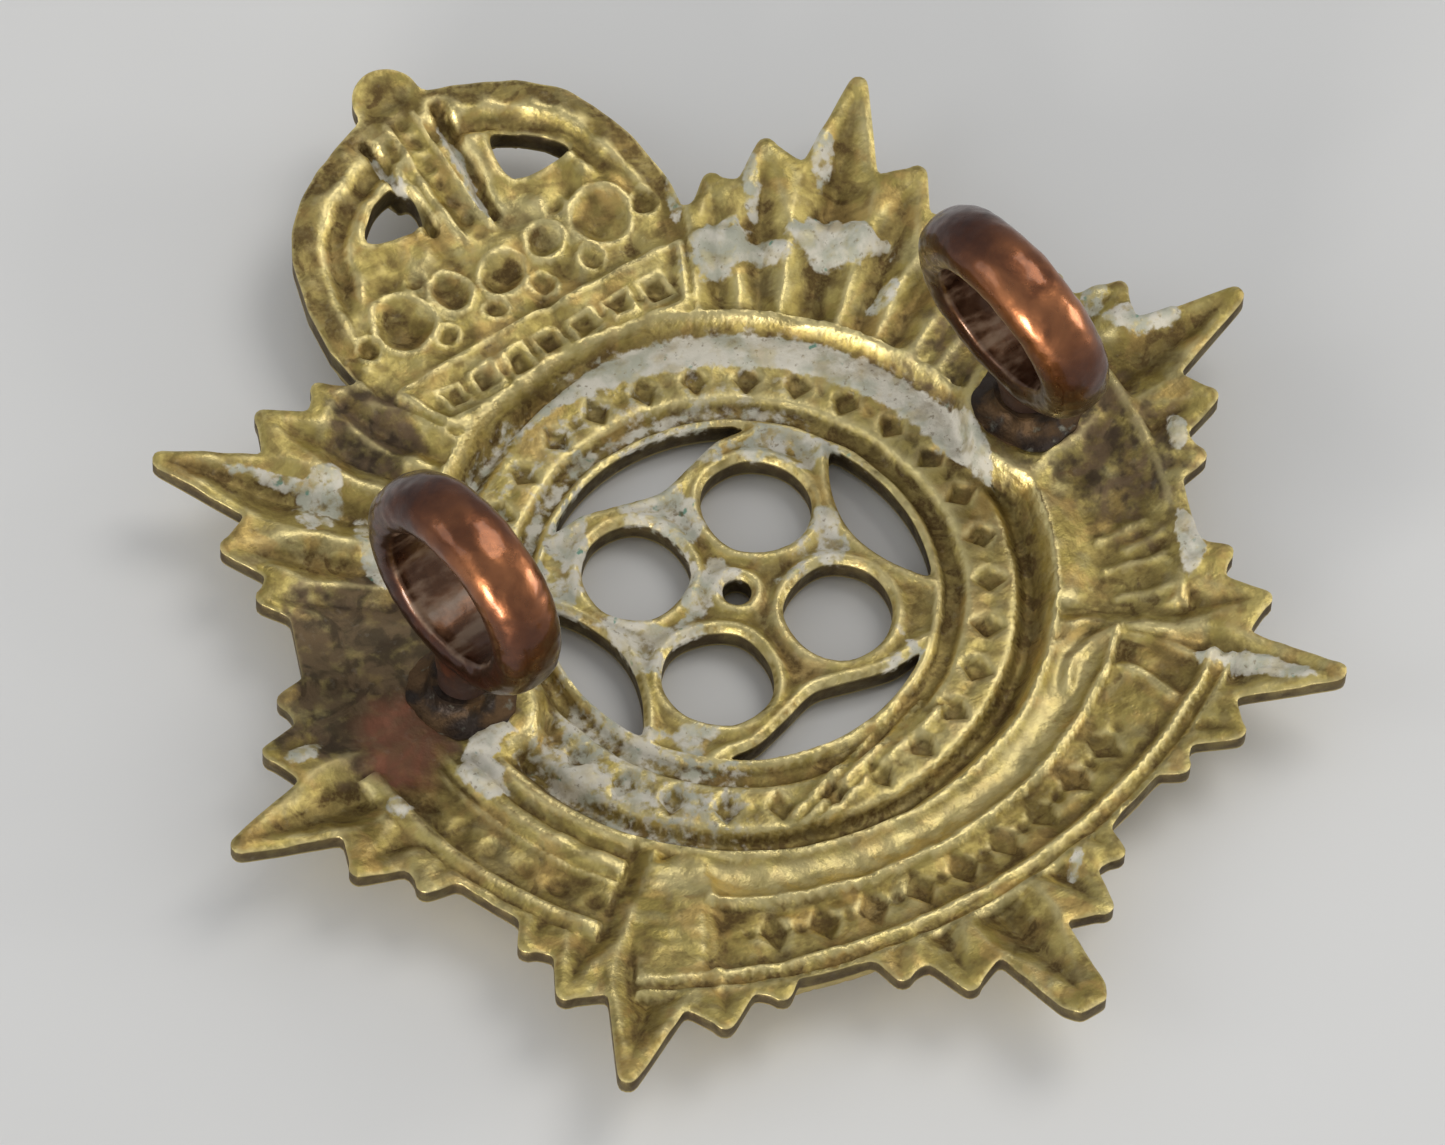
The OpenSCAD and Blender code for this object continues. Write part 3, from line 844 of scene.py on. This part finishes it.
# Stains, as spots: soot round the two feet, below the right one and in the round hollow
SOOT = [
    ((-12.6, 3.8), (1.15, 1), 1, 5.2, 2.8, 1),
    ((12.6, 2.2), (1, 1.2), 1, 4.6, 2.4, 0.5),
    ((14.6, -2.4), (1, 1.9), 0.5, 3.4, 1.0, 0.75),
    (ROUND_HOLLOW_PLACE, (1, 1), 0.3, 2.4, 1.2, 0.85),
]
COPPER_STAIN = ((-13.6, 1.2), (1, 1.3), 0.6, 2.6, 0.6, 1)


def plate_marks(px, py, residue, edge_share):
    """Shares from 0 to 1 for the material, each with the part of it that the front takes."""
    height = relief(*np.meshgrid(COLUMNS, ROWS))[0]
    fine = height - blurred(height, 2.0)
    broad = height - blurred(height, 5.0)

    def sampled(field):
        i = np.clip(np.rint((py - ROWS[0]) / PITCH).astype(int), 0, len(ROWS) - 1)
        j = np.clip(np.rint((px - COLUMNS[0]) / PITCH).astype(int), 0, len(COLUMNS) - 1)
        return field[i, j]

    crest = np.maximum(smooth(0.015, 0.11, sampled(fine)), 0.7 * edge_share)
    recess_tarnish_and_shade = smooth(-0.02, -0.16, sampled(broad))
    rim = crown_field(px, py)
    # The crown's sloping flange is darkened along with the tarnish of the hollows: painted shade.
    flange_shade = smooth(0, 0.15, rim) * smooth(1.05, 0.8, rim) * smooth(15, 16.5, py)
    recess_tarnish_and_shade = np.maximum(recess_tarnish_and_shade, 0.8 * flange_shade)
    # The scroll's plain channel loses its tarnish and takes the bright worn colour: painted light.
    channel = smooth(0.2, 0.6, np.minimum(-past_arc(px, py, LINE_ARC), middle_length_field(px, py)))
    crest = np.maximum(crest, 0.75 * channel)
    recess_tarnish_and_shade = recess_tarnish_and_shade * (1 - 0.8 * channel)
    ragged = 0.8 * wobble(px, py, 1.6, 11) + 0.4 * wobble(px, py, 0.6, 12)
    soot = np.maximum.reduce([in_spot(px, py, ragged, spot) for spot in SOOT])
    copper = in_spot(px, py, ragged, COPPER_STAIN)
    return {
        "crest": (crest, 0.5), "recess_tarnish_and_shade": (recess_tarnish_and_shade, 0.6), "residue": (residue, 0),
        "soot": (soot, 0.2), "copper": (copper, 0),
    }


def placed(name, data):
    """A new object in the scene."""
    made = bpy.data.objects.new(name, data)
    bpy.context.scene.collection.objects.link(made)
    return made


def mesh_object(name, points, triangles, marks):
    """A smooth-shaded mesh from points in millimetres, with one number per point for each mark."""
    mesh = bpy.data.meshes.new(name)
    mesh.from_pydata((np.asarray(points) * MM).tolist(), [], np.asarray(triangles).tolist())
    mesh.shade_smooth()
    mesh.set_sharp_from_angle(angle=math.radians(52))
    for mark, values in marks.items():
        layer = mesh.attributes.new(mark, "FLOAT", "POINT")
        layer.data.foreach_set("value", np.ascontiguousarray(values, np.float32))
    mesh.update()
    return placed(name, mesh)


# ---- Loops and brazing ----

def swept(sections):
    """Points and triangles of a skin round a closed row of closed sections."""
    around, along = sections.shape[:2]
    points = sections.reshape(-1, 3)
    i, j = np.meshgrid(np.arange(around), np.arange(along), indexing="ij")
    a = i * along + j
    b = (i + 1) % around * along + j
    c = (i + 1) % around * along + (j + 1) % along
    d = i * along + (j + 1) % along
    triangles = np.concatenate([
        np.stack([a.ravel(), b.ravel(), c.ravel()], 1),
        np.stack([a.ravel(), c.ravel(), d.ravel()], 1),
    ])
    return points, triangles


def remeshed(name, parts, voxel, passes):
    """One closed skin round several overlapping closed meshes, in millimetres."""
    points, triangles = [], []
    for part_points, part_triangles in parts:
        triangles.append(part_triangles + sum(len(p) for p in points))
        points.append(part_points)
    source = mesh_object(name, np.concatenate(points) / MM, np.concatenate(triangles), {})
    skin = source.modifiers.new("skin", "REMESH")
    skin.mode = "VOXEL"
    skin.voxel_size = voxel
    ease = source.modifiers.new("ease", "SMOOTH")
    ease.factor = 0.5
    ease.iterations = passes
    evaluated = source.evaluated_get(bpy.context.evaluated_depsgraph_get())
    mesh = evaluated.to_mesh()
    mesh.calc_loop_triangles()
    made = np.array([v.co for v in mesh.vertices])
    faces = np.array([t.vertices for t in mesh.loop_triangles])
    normals = np.array([v.normal for v in mesh.vertices])
    evaluated.to_mesh_clear()
    bpy.data.objects.remove(source)
    return made, faces, normals


def at_foot(foot, turn, lean):
    """Matrix that carries a loop drawn up +Z from its foot to its place on the plate."""
    place = Matrix.Translation((foot[0], foot[1] + STAR_Y, seat_z(foot)))
    turned = Matrix.Rotation(math.radians(turn), 4, "Z")
    leaned = Matrix.Rotation(math.radians(-lean), 4, "Y")
    return np.array(place @ turned @ leaned)


def carried(points, place):
    return points @ place[:3, :3].T + place[:3, 3]


def ring_part():
    """Ring about the X axis, of wire pressed a little wider, with a flat land on its inner side."""
    around, along = 144, 40
    u = np.arange(around) * math.tau / around
    v = np.arange(along) * math.tau / along
    u, v = np.meshgrid(u, v, indexing="ij")
    out = LOOP_OUTER - WIRE / 2 + WIRE / 2 * np.cos(v)
    soft = 0.05
    out = (out + LOOP_BORE + np.sqrt((out - LOOP_BORE) ** 2 + soft**2)) / 2
    aside = RING_WIDTH / 2 * np.sign(np.sin(v)) * np.abs(np.sin(v)) ** 0.85
    return swept(np.stack([aside, out * np.sin(u), LOOP_REACH + out * np.cos(u)], -1))


def turned_part(rows, around=48):
    """Closed solid of revolution about Z from (radius, height) rows that start and end on the axis."""
    u = np.arange(around) * math.tau / around
    points = [(0, 0, rows[0][1])]
    for radius, height in rows[1:-1]:
        points += [(radius * math.cos(t), radius * math.sin(t), height) for t in u]
    points.append((0, 0, rows[-1][1]))
    rings = len(rows) - 2
    triangles = []
    for k in range(around):
        n = (k + 1) % around
        triangles.append((0, 1 + n, 1 + k))
        for r in range(rings - 1):
            low, high = 1 + r * around, 1 + (r + 1) * around
            triangles += [(low + k, low + n, high + n), (low + k, high + n, high + k)]
        last = 1 + (rings - 1) * around
        triangles.append((last + k, last + n, len(points) - 1))
    return np.array(points, float), np.array(triangles)


def lumps(points, size, seed):
    """Smooth random numbers from about -1 to 1 at points in space."""
    shift = Vector((seed * 7.3, seed * 3.1, seed * 5.7))
    return np.array([noise.noise(Vector(p) / size + shift) for p in points])


def make_loop(name, foot, turn, lean, seed):
    """Ring and shank in one skin, a little dented."""
    top = LOOP_REACH - LOOP_OUTER + WIRE / 2
    shank = turned_part([
        (0, -0.6), (1.0, -0.6), (1.0, 0.3), (0.97, 0.9), (1.0, 1.8),
        (1.12, top - 0.2), (1.0, top + 0.1), (0, top + 0.1),
    ])
    points, triangles, normals = remeshed(name, [ring_part(), shank], voxel=0.075, passes=5)
    out = np.hypot(points[:, 1], points[:, 2] - LOOP_REACH)
    land = smooth(LOOP_BORE + 0.2, LOOP_BORE + 0.05, out)
    dents = 0.05 * lumps(points, 1.6, seed) + 0.025 * lumps(points, 0.5, seed + 1)
    points = points + normals * (dents * (1 - 0.6 * land))[:, None]
    low = smooth(3.6, 1.6, points[:, 2])
    # Painted light on the ring: a highlight band round its top, a little towards -Y, and painted shade on its
    # ends and on the shank.
    round_ring = np.degrees(np.arctan2(points[:, 2] - LOOP_REACH, -points[:, 1]))
    lit_band = smooth(-5, 48, round_ring) * smooth(125, 72, round_ring)
    marks = {"land": land, "soot": low, "crest": lit_band, "ends": 1 - lit_band}
    place = at_foot(foot, turn, lean)
    moved = carried(points, place)
    moved[:, 2] = np.maximum(moved[:, 2], seat_z(foot))
    return mesh_object(name, moved, triangles, marks)


def make_braze(name, foot, turn, lean, seed):
    """Lumpy filler that flows up the shank in a hollow curve."""
    hollow = BRAZE_RADIUS - WIRE / 2 - BRAZE_LIP
    curve = [math.radians(k * 90 / 10) for k in range(11)]
    flow = [(BRAZE_RADIUS - hollow * math.sin(t), BRAZE_LIP + hollow * (1 - math.cos(t))) for t in curve]
    foot_rows = [(0, -0.05), (BRAZE_RADIUS - 0.08, -0.05), (BRAZE_RADIUS, 0.04)]
    points, triangles = turned_part(foot_rows + flow + [(0, BRAZE_LIP + hollow)], around=72)
    push = 0.26 * lumps(points, 1.3, seed) + 0.12 * lumps(points, 0.5, seed + 1)
    outward = points * (1, 1, 0) / np.maximum(np.hypot(points[:, 0], points[:, 1]), 0.5)[:, None]
    above = smooth(0, 0.3, points[:, 2])[:, None]
    points = points + outward * push[:, None] + (0, 0, 0.5) * push[:, None] * above
    points = points + (math.sin(math.radians(-lean)), 0, 0) * points[:, 2:3]
    place = at_foot(foot, turn, 0)
    return mesh_object(name, carried(points, place), triangles, {"crest": smooth(0.3, 1.0, points[:, 2])})


# ---- Materials ----

class Wiring:
    """Adds shader nodes to one material, so that a material reads as a list of steps."""

    def __init__(self, name):
        self.material = bpy.data.materials.new(name)
        self.material.use_nodes = True
        self.tree = self.material.node_tree
        coordinates = self.node("ShaderNodeTexCoord").outputs["Object"]
        scale = self.node("ShaderNodeVectorMath", {0: coordinates, "Scale": 1 / MM}, operation="SCALE")
        self.place = scale.outputs[0]

    def put(self, node, inputs):
        """Links or sets inputs of a node."""
        for name, value in inputs.items():
            if isinstance(value, bpy.types.NodeSocket):
                self.tree.links.new(value, node.inputs[name])
            else:
                node.inputs[name].default_value = value

    def node(self, kind, inputs=None, **settings):
        made = self.tree.nodes.new(kind)
        for name, value in settings.items():
            setattr(made, name, value)
        self.put(made, inputs or {})
        return made

    def mark(self, name):
        return self.node("ShaderNodeAttribute", attribute_name=name).outputs["Fac"]

    def grain(self, per_mm, detail, stretch=None, distortion=0.0):
        place = self.place
        if stretch:
            place = self.node("ShaderNodeMapping", {"Vector": place, "Scale": stretch}).outputs[0]
        inputs = {"Vector": place, "Scale": per_mm, "Detail": detail, "Distortion": distortion}
        return self.node("ShaderNodeTexNoise", inputs).outputs["Fac"]

    def sums(self, operation, a, b):
        return self.node("ShaderNodeMath", {0: a, 1: b}, operation=operation).outputs[0]

    times = partialmethod(sums, "MULTIPLY")
    plus = partialmethod(sums, "ADD")
    larger = partialmethod(sums, "MAXIMUM")

    def span(self, value, low, high, to_low=0.0, to_high=1.0):
        """Eased change from to_low to to_high as value goes from low to high."""
        inputs = {"Value": value, "From Min": low, "From Max": high, "To Min": to_low, "To Max": to_high}
        return self.node("ShaderNodeMapRange", inputs, interpolation_type="SMOOTHSTEP").outputs["Result"]

    def mix(self, share, a, b):
        made = self.node("ShaderNodeMix", {"Factor": share}, data_type="RGBA")
        for name, colour in (("A", a), ("B", b)):
            value = colour if isinstance(colour, bpy.types.NodeSocket) else (*colour, 1.0)
            place = [k for k, s in enumerate(made.inputs) if s.name == name and s.type == "RGBA"][0]
            self.put(made, {place: value})
        return [s for s in made.outputs if s.type == "RGBA"][0]

    def bump(self, height, depth_mm, strength, under=None):
        inputs = {"Strength": strength, "Distance": depth_mm * MM, "Height": height}
        if under is not None:
            inputs["Normal"] = under
        return self.node("ShaderNodeBump", inputs).outputs["Normal"]

    def finish(self, colour, metallic, roughness, normal, **more):
        inputs = {"Base Color": colour, "Metallic": metallic, "Roughness": roughness, "Normal": normal}
        self.put(self.tree.nodes["Principled BSDF"], inputs | more)
        return self.material


def brass_colour(w, patches, mottle, tarnish, brightened, wall_patina_and_shade):
    """Patchy brass, dark with tarnish in its hollows and bright where it is worn; its walls are dark with
    patina and painted shade, the crown's flange takes painted shade and the scroll's channel painted light.
    """
    speck = w.grain(7.0, 3)
    greyed = w.span(w.grain(0.55, 5, distortion=0.8), 0.5, 0.68, 0.0, 0.3)
    orange = w.span(w.grain(0.7, 6, distortion=0.5), 0.5, 0.64, 0.0, 0.5)
    tarnish_and_shade = w.plus(w.span(tarnish, 0.47, 0.6, 0.0, 0.42), w.times(w.mark("recess_tarnish_and_shade"), 0.62))
    front = w.times(w.span(w.mark("side"), 0.6, 1.0), 0.35)
    colour = w.mix(w.span(patches, 0.35, 0.65), (0.38, 0.30, 0.09), (0.57, 0.465, 0.165))
    colour = w.mix(w.span(mottle, 0.45, 0.72, 0.0, 0.55), colour, (0.24, 0.17, 0.06))
    colour = w.mix(greyed, colour, (0.50, 0.47, 0.30))
    colour = w.mix(orange, colour, (0.58, 0.38, 0.14))
    # Tarnish darkens the hollows and random patches; on the crown's flange the same darkening is painted
    # shade.
    colour = w.mix(w.times(tarnish_and_shade, w.span(speck, 0.35, 0.6, 0.78, 1.0)), colour, (0.15, 0.10, 0.04))
    # Bright worn brass on crests and edges; in the scroll's channel the same colour is painted light.
    colour = w.mix(brightened, colour, (0.80, 0.68, 0.33))
    colour = w.mix(front, colour, (0.62, 0.49, 0.18))
    # Dark walls: partly patina, partly painted shade standing in for a dark reflection.
    return w.mix(w.times(wall_patina_and_shade, w.span(mottle, 0.3, 0.65, 0.75, 0.95)), colour, (0.085, 0.06, 0.035))


def chalk_colour(w):
    """Residue from white to grey, with verdigris and dirt in it."""
    chalk = w.mix(w.span(w.grain(0.9, 4), 0.42, 0.62), (0.62, 0.585, 0.49), (0.42, 0.42, 0.33))
    chalk = w.mix(w.span(w.grain(1.6, 3), 0.66, 0.74), chalk, (0.15, 0.29, 0.22))
    return w.mix(w.span(w.grain(5.0, 3), 0.6, 0.72, 0, 0.7), chalk, (0.22, 0.18, 0.12))


def worn_brass():
    """Brass under soot, copper stain and residue."""
    w = Wiring("worn_brass")
    patches = w.grain(0.32, 5, distortion=0.6)
    mottle = w.grain(1.6, 6)
    tarnish = w.grain(0.85, 9, distortion=1.2)
    crest, recess_tarnish_and_shade, side = w.mark("crest"), w.mark("recess_tarnish_and_shade"), w.mark("side")
    # Share of the walls, which brass_colour darkens with patina and painted shade.
    wall_patina_and_shade = w.times(w.span(side, 0.01, 0.16), w.span(side, 0.99, 0.84))
    brightened = w.times(crest, w.span(mottle, 0.3, 0.6, 0.35, 0.8))
    colour = brass_colour(w, patches, mottle, tarnish, brightened, wall_patina_and_shade)

    sooty = w.span(w.plus(w.mark("soot"), w.span(mottle, 0.3, 0.7, -0.3, 0.3)), 0.15, 1.0)
    soot_tone = w.mix(w.span(tarnish, 0.4, 0.6), (0.045, 0.028, 0.018), (0.15, 0.10, 0.055))
    colour = w.mix(w.times(sooty, w.span(crest, 0, 1, 0.92, 0.6)), colour, soot_tone)
    reddish = w.span(w.plus(w.mark("copper"), w.span(patches, 0.35, 0.65, -0.4, 0.1)), 0.0, 1.0)
    colour = w.mix(w.times(reddish, w.span(tarnish, 0.35, 0.6, 0.9, 0.5)), colour, (0.36, 0.15, 0.085))
    white = w.span(w.plus(w.mark("residue"), w.span(w.grain(2.6, 7), 0.3, 0.7, -0.34, 0.34)), 0.25, 0.85)
    white = w.times(white, w.span(w.grain(1.1, 6), 0.34, 0.52, 0.62, 1.0))
    colour = w.mix(white, colour, chalk_colour(w))

    metallic = w.sums("SUBTRACT", 1.0, w.larger(white, w.times(sooty, 0.4)))
    rough = w.sums("SUBTRACT", w.span(mottle, 0.3, 0.7, 0.42, 0.6), w.times(brightened, 0.2))
    rough = w.plus(rough, w.times(w.larger(recess_tarnish_and_shade, wall_patina_and_shade), 0.12))
    rough = w.larger(rough, w.larger(w.times(white, 0.8), w.times(sooty, 0.62)))
    scratches = w.grain(2.5, 3, stretch=(1.0, 9.0, 1.0), distortion=0.8)
    normal = w.bump(w.grain(1.3, 8), 0.14, 0.55)
    normal = w.bump(w.grain(4.5, 6), 0.05, 0.6, normal)
    normal = w.bump(scratches, 0.02, 0.4, normal)
    return w.finish(colour, metallic, rough, normal)


def worn_copper():
    """Dark glossy copper with a painted highlight band near the top of each ring and painted shade on the
    rest.
    """
    w = Wiring("worn_copper")
    patches = w.grain(0.45, 5, distortion=0.5)
    mottle = w.grain(2.2, 5)
    crest, soot, land = w.mark("crest"), w.mark("soot"), w.mark("land")
    colour = w.mix(w.span(patches, 0.35, 0.65), (0.125, 0.042, 0.018), (0.235, 0.08, 0.031))
    # Painted highlight: the lit band of each ring takes a brighter copper.
    brightened = w.times(crest, w.span(patches, 0.35, 0.6, 0.2, 0.8))
    colour = w.mix(brightened, colour, (0.38, 0.15, 0.06))
    # Painted shade on the ring's ends and on the shank.
    dark_ends = w.times(w.mark("ends"), w.span(mottle, 0.3, 0.7, 0.6, 0.9))
    colour = w.mix(dark_ends, colour, (0.05, 0.021, 0.016))
    dust = w.times(land, w.span(w.grain(0.9, 6, stretch=(0.7, 1.6, 1.6)), 0.42, 0.66))
    colour = w.mix(w.times(land, 0.7), colour, (0.12, 0.06, 0.03))
    colour = w.mix(w.times(dust, 0.4), colour, (0.24, 0.18, 0.12))
    sooty = w.span(w.plus(soot, w.span(mottle, 0.3, 0.7, -0.2, 0.2)), 0.3, 0.9, 0, 0.85)
    colour = w.mix(sooty, colour, (0.035, 0.02, 0.015))
    metallic = w.sums("SUBTRACT", 1.0, w.larger(w.times(dust, 0.5), w.times(soot, 0.5)))
    rough = w.plus(w.span(mottle, 0.3, 0.7, 0.26, 0.38), w.times(w.larger(dust, soot), 0.25))
    normal = w.bump(w.grain(0.9, 4), 0.08, 0.35)
    normal = w.bump(w.grain(5.0, 4), 0.02, 0.35, normal)
    return w.finish(colour, metallic, rough, normal, **{"Coat Weight": 0.4, "Coat Roughness": 0.13})


def sooty_filler():
    w = Wiring("sooty_filler")
    patches = w.grain(0.8, 5, distortion=0.5)
    colour = w.mix(w.span(patches, 0.4, 0.66), (0.032, 0.022, 0.016), (0.13, 0.08, 0.042))
    colour = w.mix(w.span(w.grain(1.7, 4), 0.62, 0.74, 0, 0.6), colour, (0.24, 0.24, 0.19))
    rough = w.span(patches, 0.3, 0.7, 0.42, 0.7)
    normal = w.bump(w.grain(1.5, 6), 0.16, 0.7)
    normal = w.bump(w.grain(6.0, 4), 0.04, 0.5, normal)
    return w.finish(colour, w.span(patches, 0.3, 0.6, 0.5, 0.95), rough, normal)


def floor_paint():
    w = Wiring("pale_floor")
    colour = w.mix(w.span(w.grain(0.02, 3), 0.3, 0.7), (0.68, 0.68, 0.67), (0.72, 0.72, 0.71))
    return w.finish(colour, 0.0, 0.7, w.bump(w.grain(0.5, 3), 0.02, 0.2))


# ---- Putting the pieces together ----

def show(piece, node, material):
    """The piece stands for a CAD node, rides on the badge's one body and takes its material."""
    piece.data.materials.append(material)
    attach(piece, "root")
    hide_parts(node)


brass, copper, filler = worn_brass(), worn_copper(), sooty_filler()
show(make_plate(), "badge_plate", brass)
show(make_loop("left_wire_loop", *LEFT, 1), "left_loop", copper)
show(make_loop("right_wire_loop", *RIGHT, 4), "right_loop", copper)
show(make_braze("left_filler", *LEFT, 2), "left_braze", filler)
show(make_braze("right_filler", *RIGHT, 5), "right_braze", filler)
for name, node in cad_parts.items():
    node.data.materials.clear()
    node.data.materials.append(brass if name == "badge_plate" else copper if "loop" in name else filler)


# ---- Floor, camera and light ----

CAMERA_AZIMUTH, CAMERA_ELEVATION, CAMERA_ROLL = -36.53, 57.51, 3.086
CAMERA_DISTANCE = 366.97 * MM
CAMERA_LENS = 255.6
CAMERA_SHIFT = (-0.0168, -0.0061)
FLOOR_HALF = 1.5
FLOOR_Z = -0.00002
AIM = Vector((0, STAR_Y * MM, 3.85 * MM))


def camera_axes():
    """Camera right, up and back for the reference view."""
    azimuth, elevation, roll = (math.radians(a) for a in (CAMERA_AZIMUTH, CAMERA_ELEVATION, CAMERA_ROLL))
    level = math.cos(elevation)
    back = Vector((math.sin(azimuth) * level, -math.cos(azimuth) * level, math.sin(elevation)))
    right = Vector((math.cos(azimuth), math.sin(azimuth), 0))
    up = back.cross(right)
    turned_right = right * math.cos(roll) + up * math.sin(roll)
    turned_up = up * math.cos(roll) - right * math.sin(roll)
    return turned_right, turned_up, back


def add_camera():
    right, up, back = camera_axes()
    data = bpy.data.cameras.new("camera")
    data.sensor_width = 36
    data.lens = CAMERA_LENS
    data.shift_x, data.shift_y = CAMERA_SHIFT
    camera = placed("camera", data)
    turn = Matrix((right, up, back)).transposed().to_4x4()
    camera.matrix_world = Matrix.Translation(AIM + back * CAMERA_DISTANCE) @ turn
    bpy.context.scene.camera = camera


def add_softbox(name, direction, distance, size, power, colour):
    """Square area light in this direction from the badge, facing it."""
    data = bpy.data.lights.new(name, "AREA")
    data.size = size
    data.energy = power
    data.color = colour
    lamp = placed(name, data)
    away = Vector(direction).normalized()
    lamp.location = AIM + away * distance
    lamp.rotation_mode = "QUATERNION"
    lamp.rotation_quaternion = away.to_track_quat("Z", "Y")


def add_floor():
    mesh = bpy.data.meshes.new("floor")
    corners = [(-1, -1), (1, -1), (1, 1), (-1, 1)]
    mesh.from_pydata([(x * FLOOR_HALF, y * FLOOR_HALF, FLOOR_Z) for x, y in corners], [], [(0, 1, 2, 3)])
    mesh.materials.append(floor_paint())
    floor = placed("floor", mesh)


add_floor()
add_camera()
right, up, back = camera_axes()
add_softbox("key", right * 0.55 + up * 0.9 + back * 0.75, 0.5, 0.24, 0.6, (1.0, 0.97, 0.92))
add_softbox("fill", right * -1.0 + up * 0.1 + back * 0.8, 0.6, 0.3, 0.4, (0.96, 0.98, 1.0))
add_softbox("front", right * -0.37 + up * -0.67 + back * 0.62, 0.5, 0.16, 2.0, (1.0, 0.97, 0.93))
add_softbox("side", right * 0.94 + up * 0.2 + back * 0.1, 0.5, 0.18, 0.6, (1.0, 0.97, 0.93))
world = bpy.data.worlds.new("studio")
world.use_nodes = True
world.node_tree.nodes["Background"].inputs["Color"].default_value = (0.55, 0.56, 0.58, 1)
world.node_tree.nodes["Background"].inputs["Strength"].default_value = 0.82
bpy.context.scene.world = world
bpy.context.scene.view_settings.view_transform = "Standard"
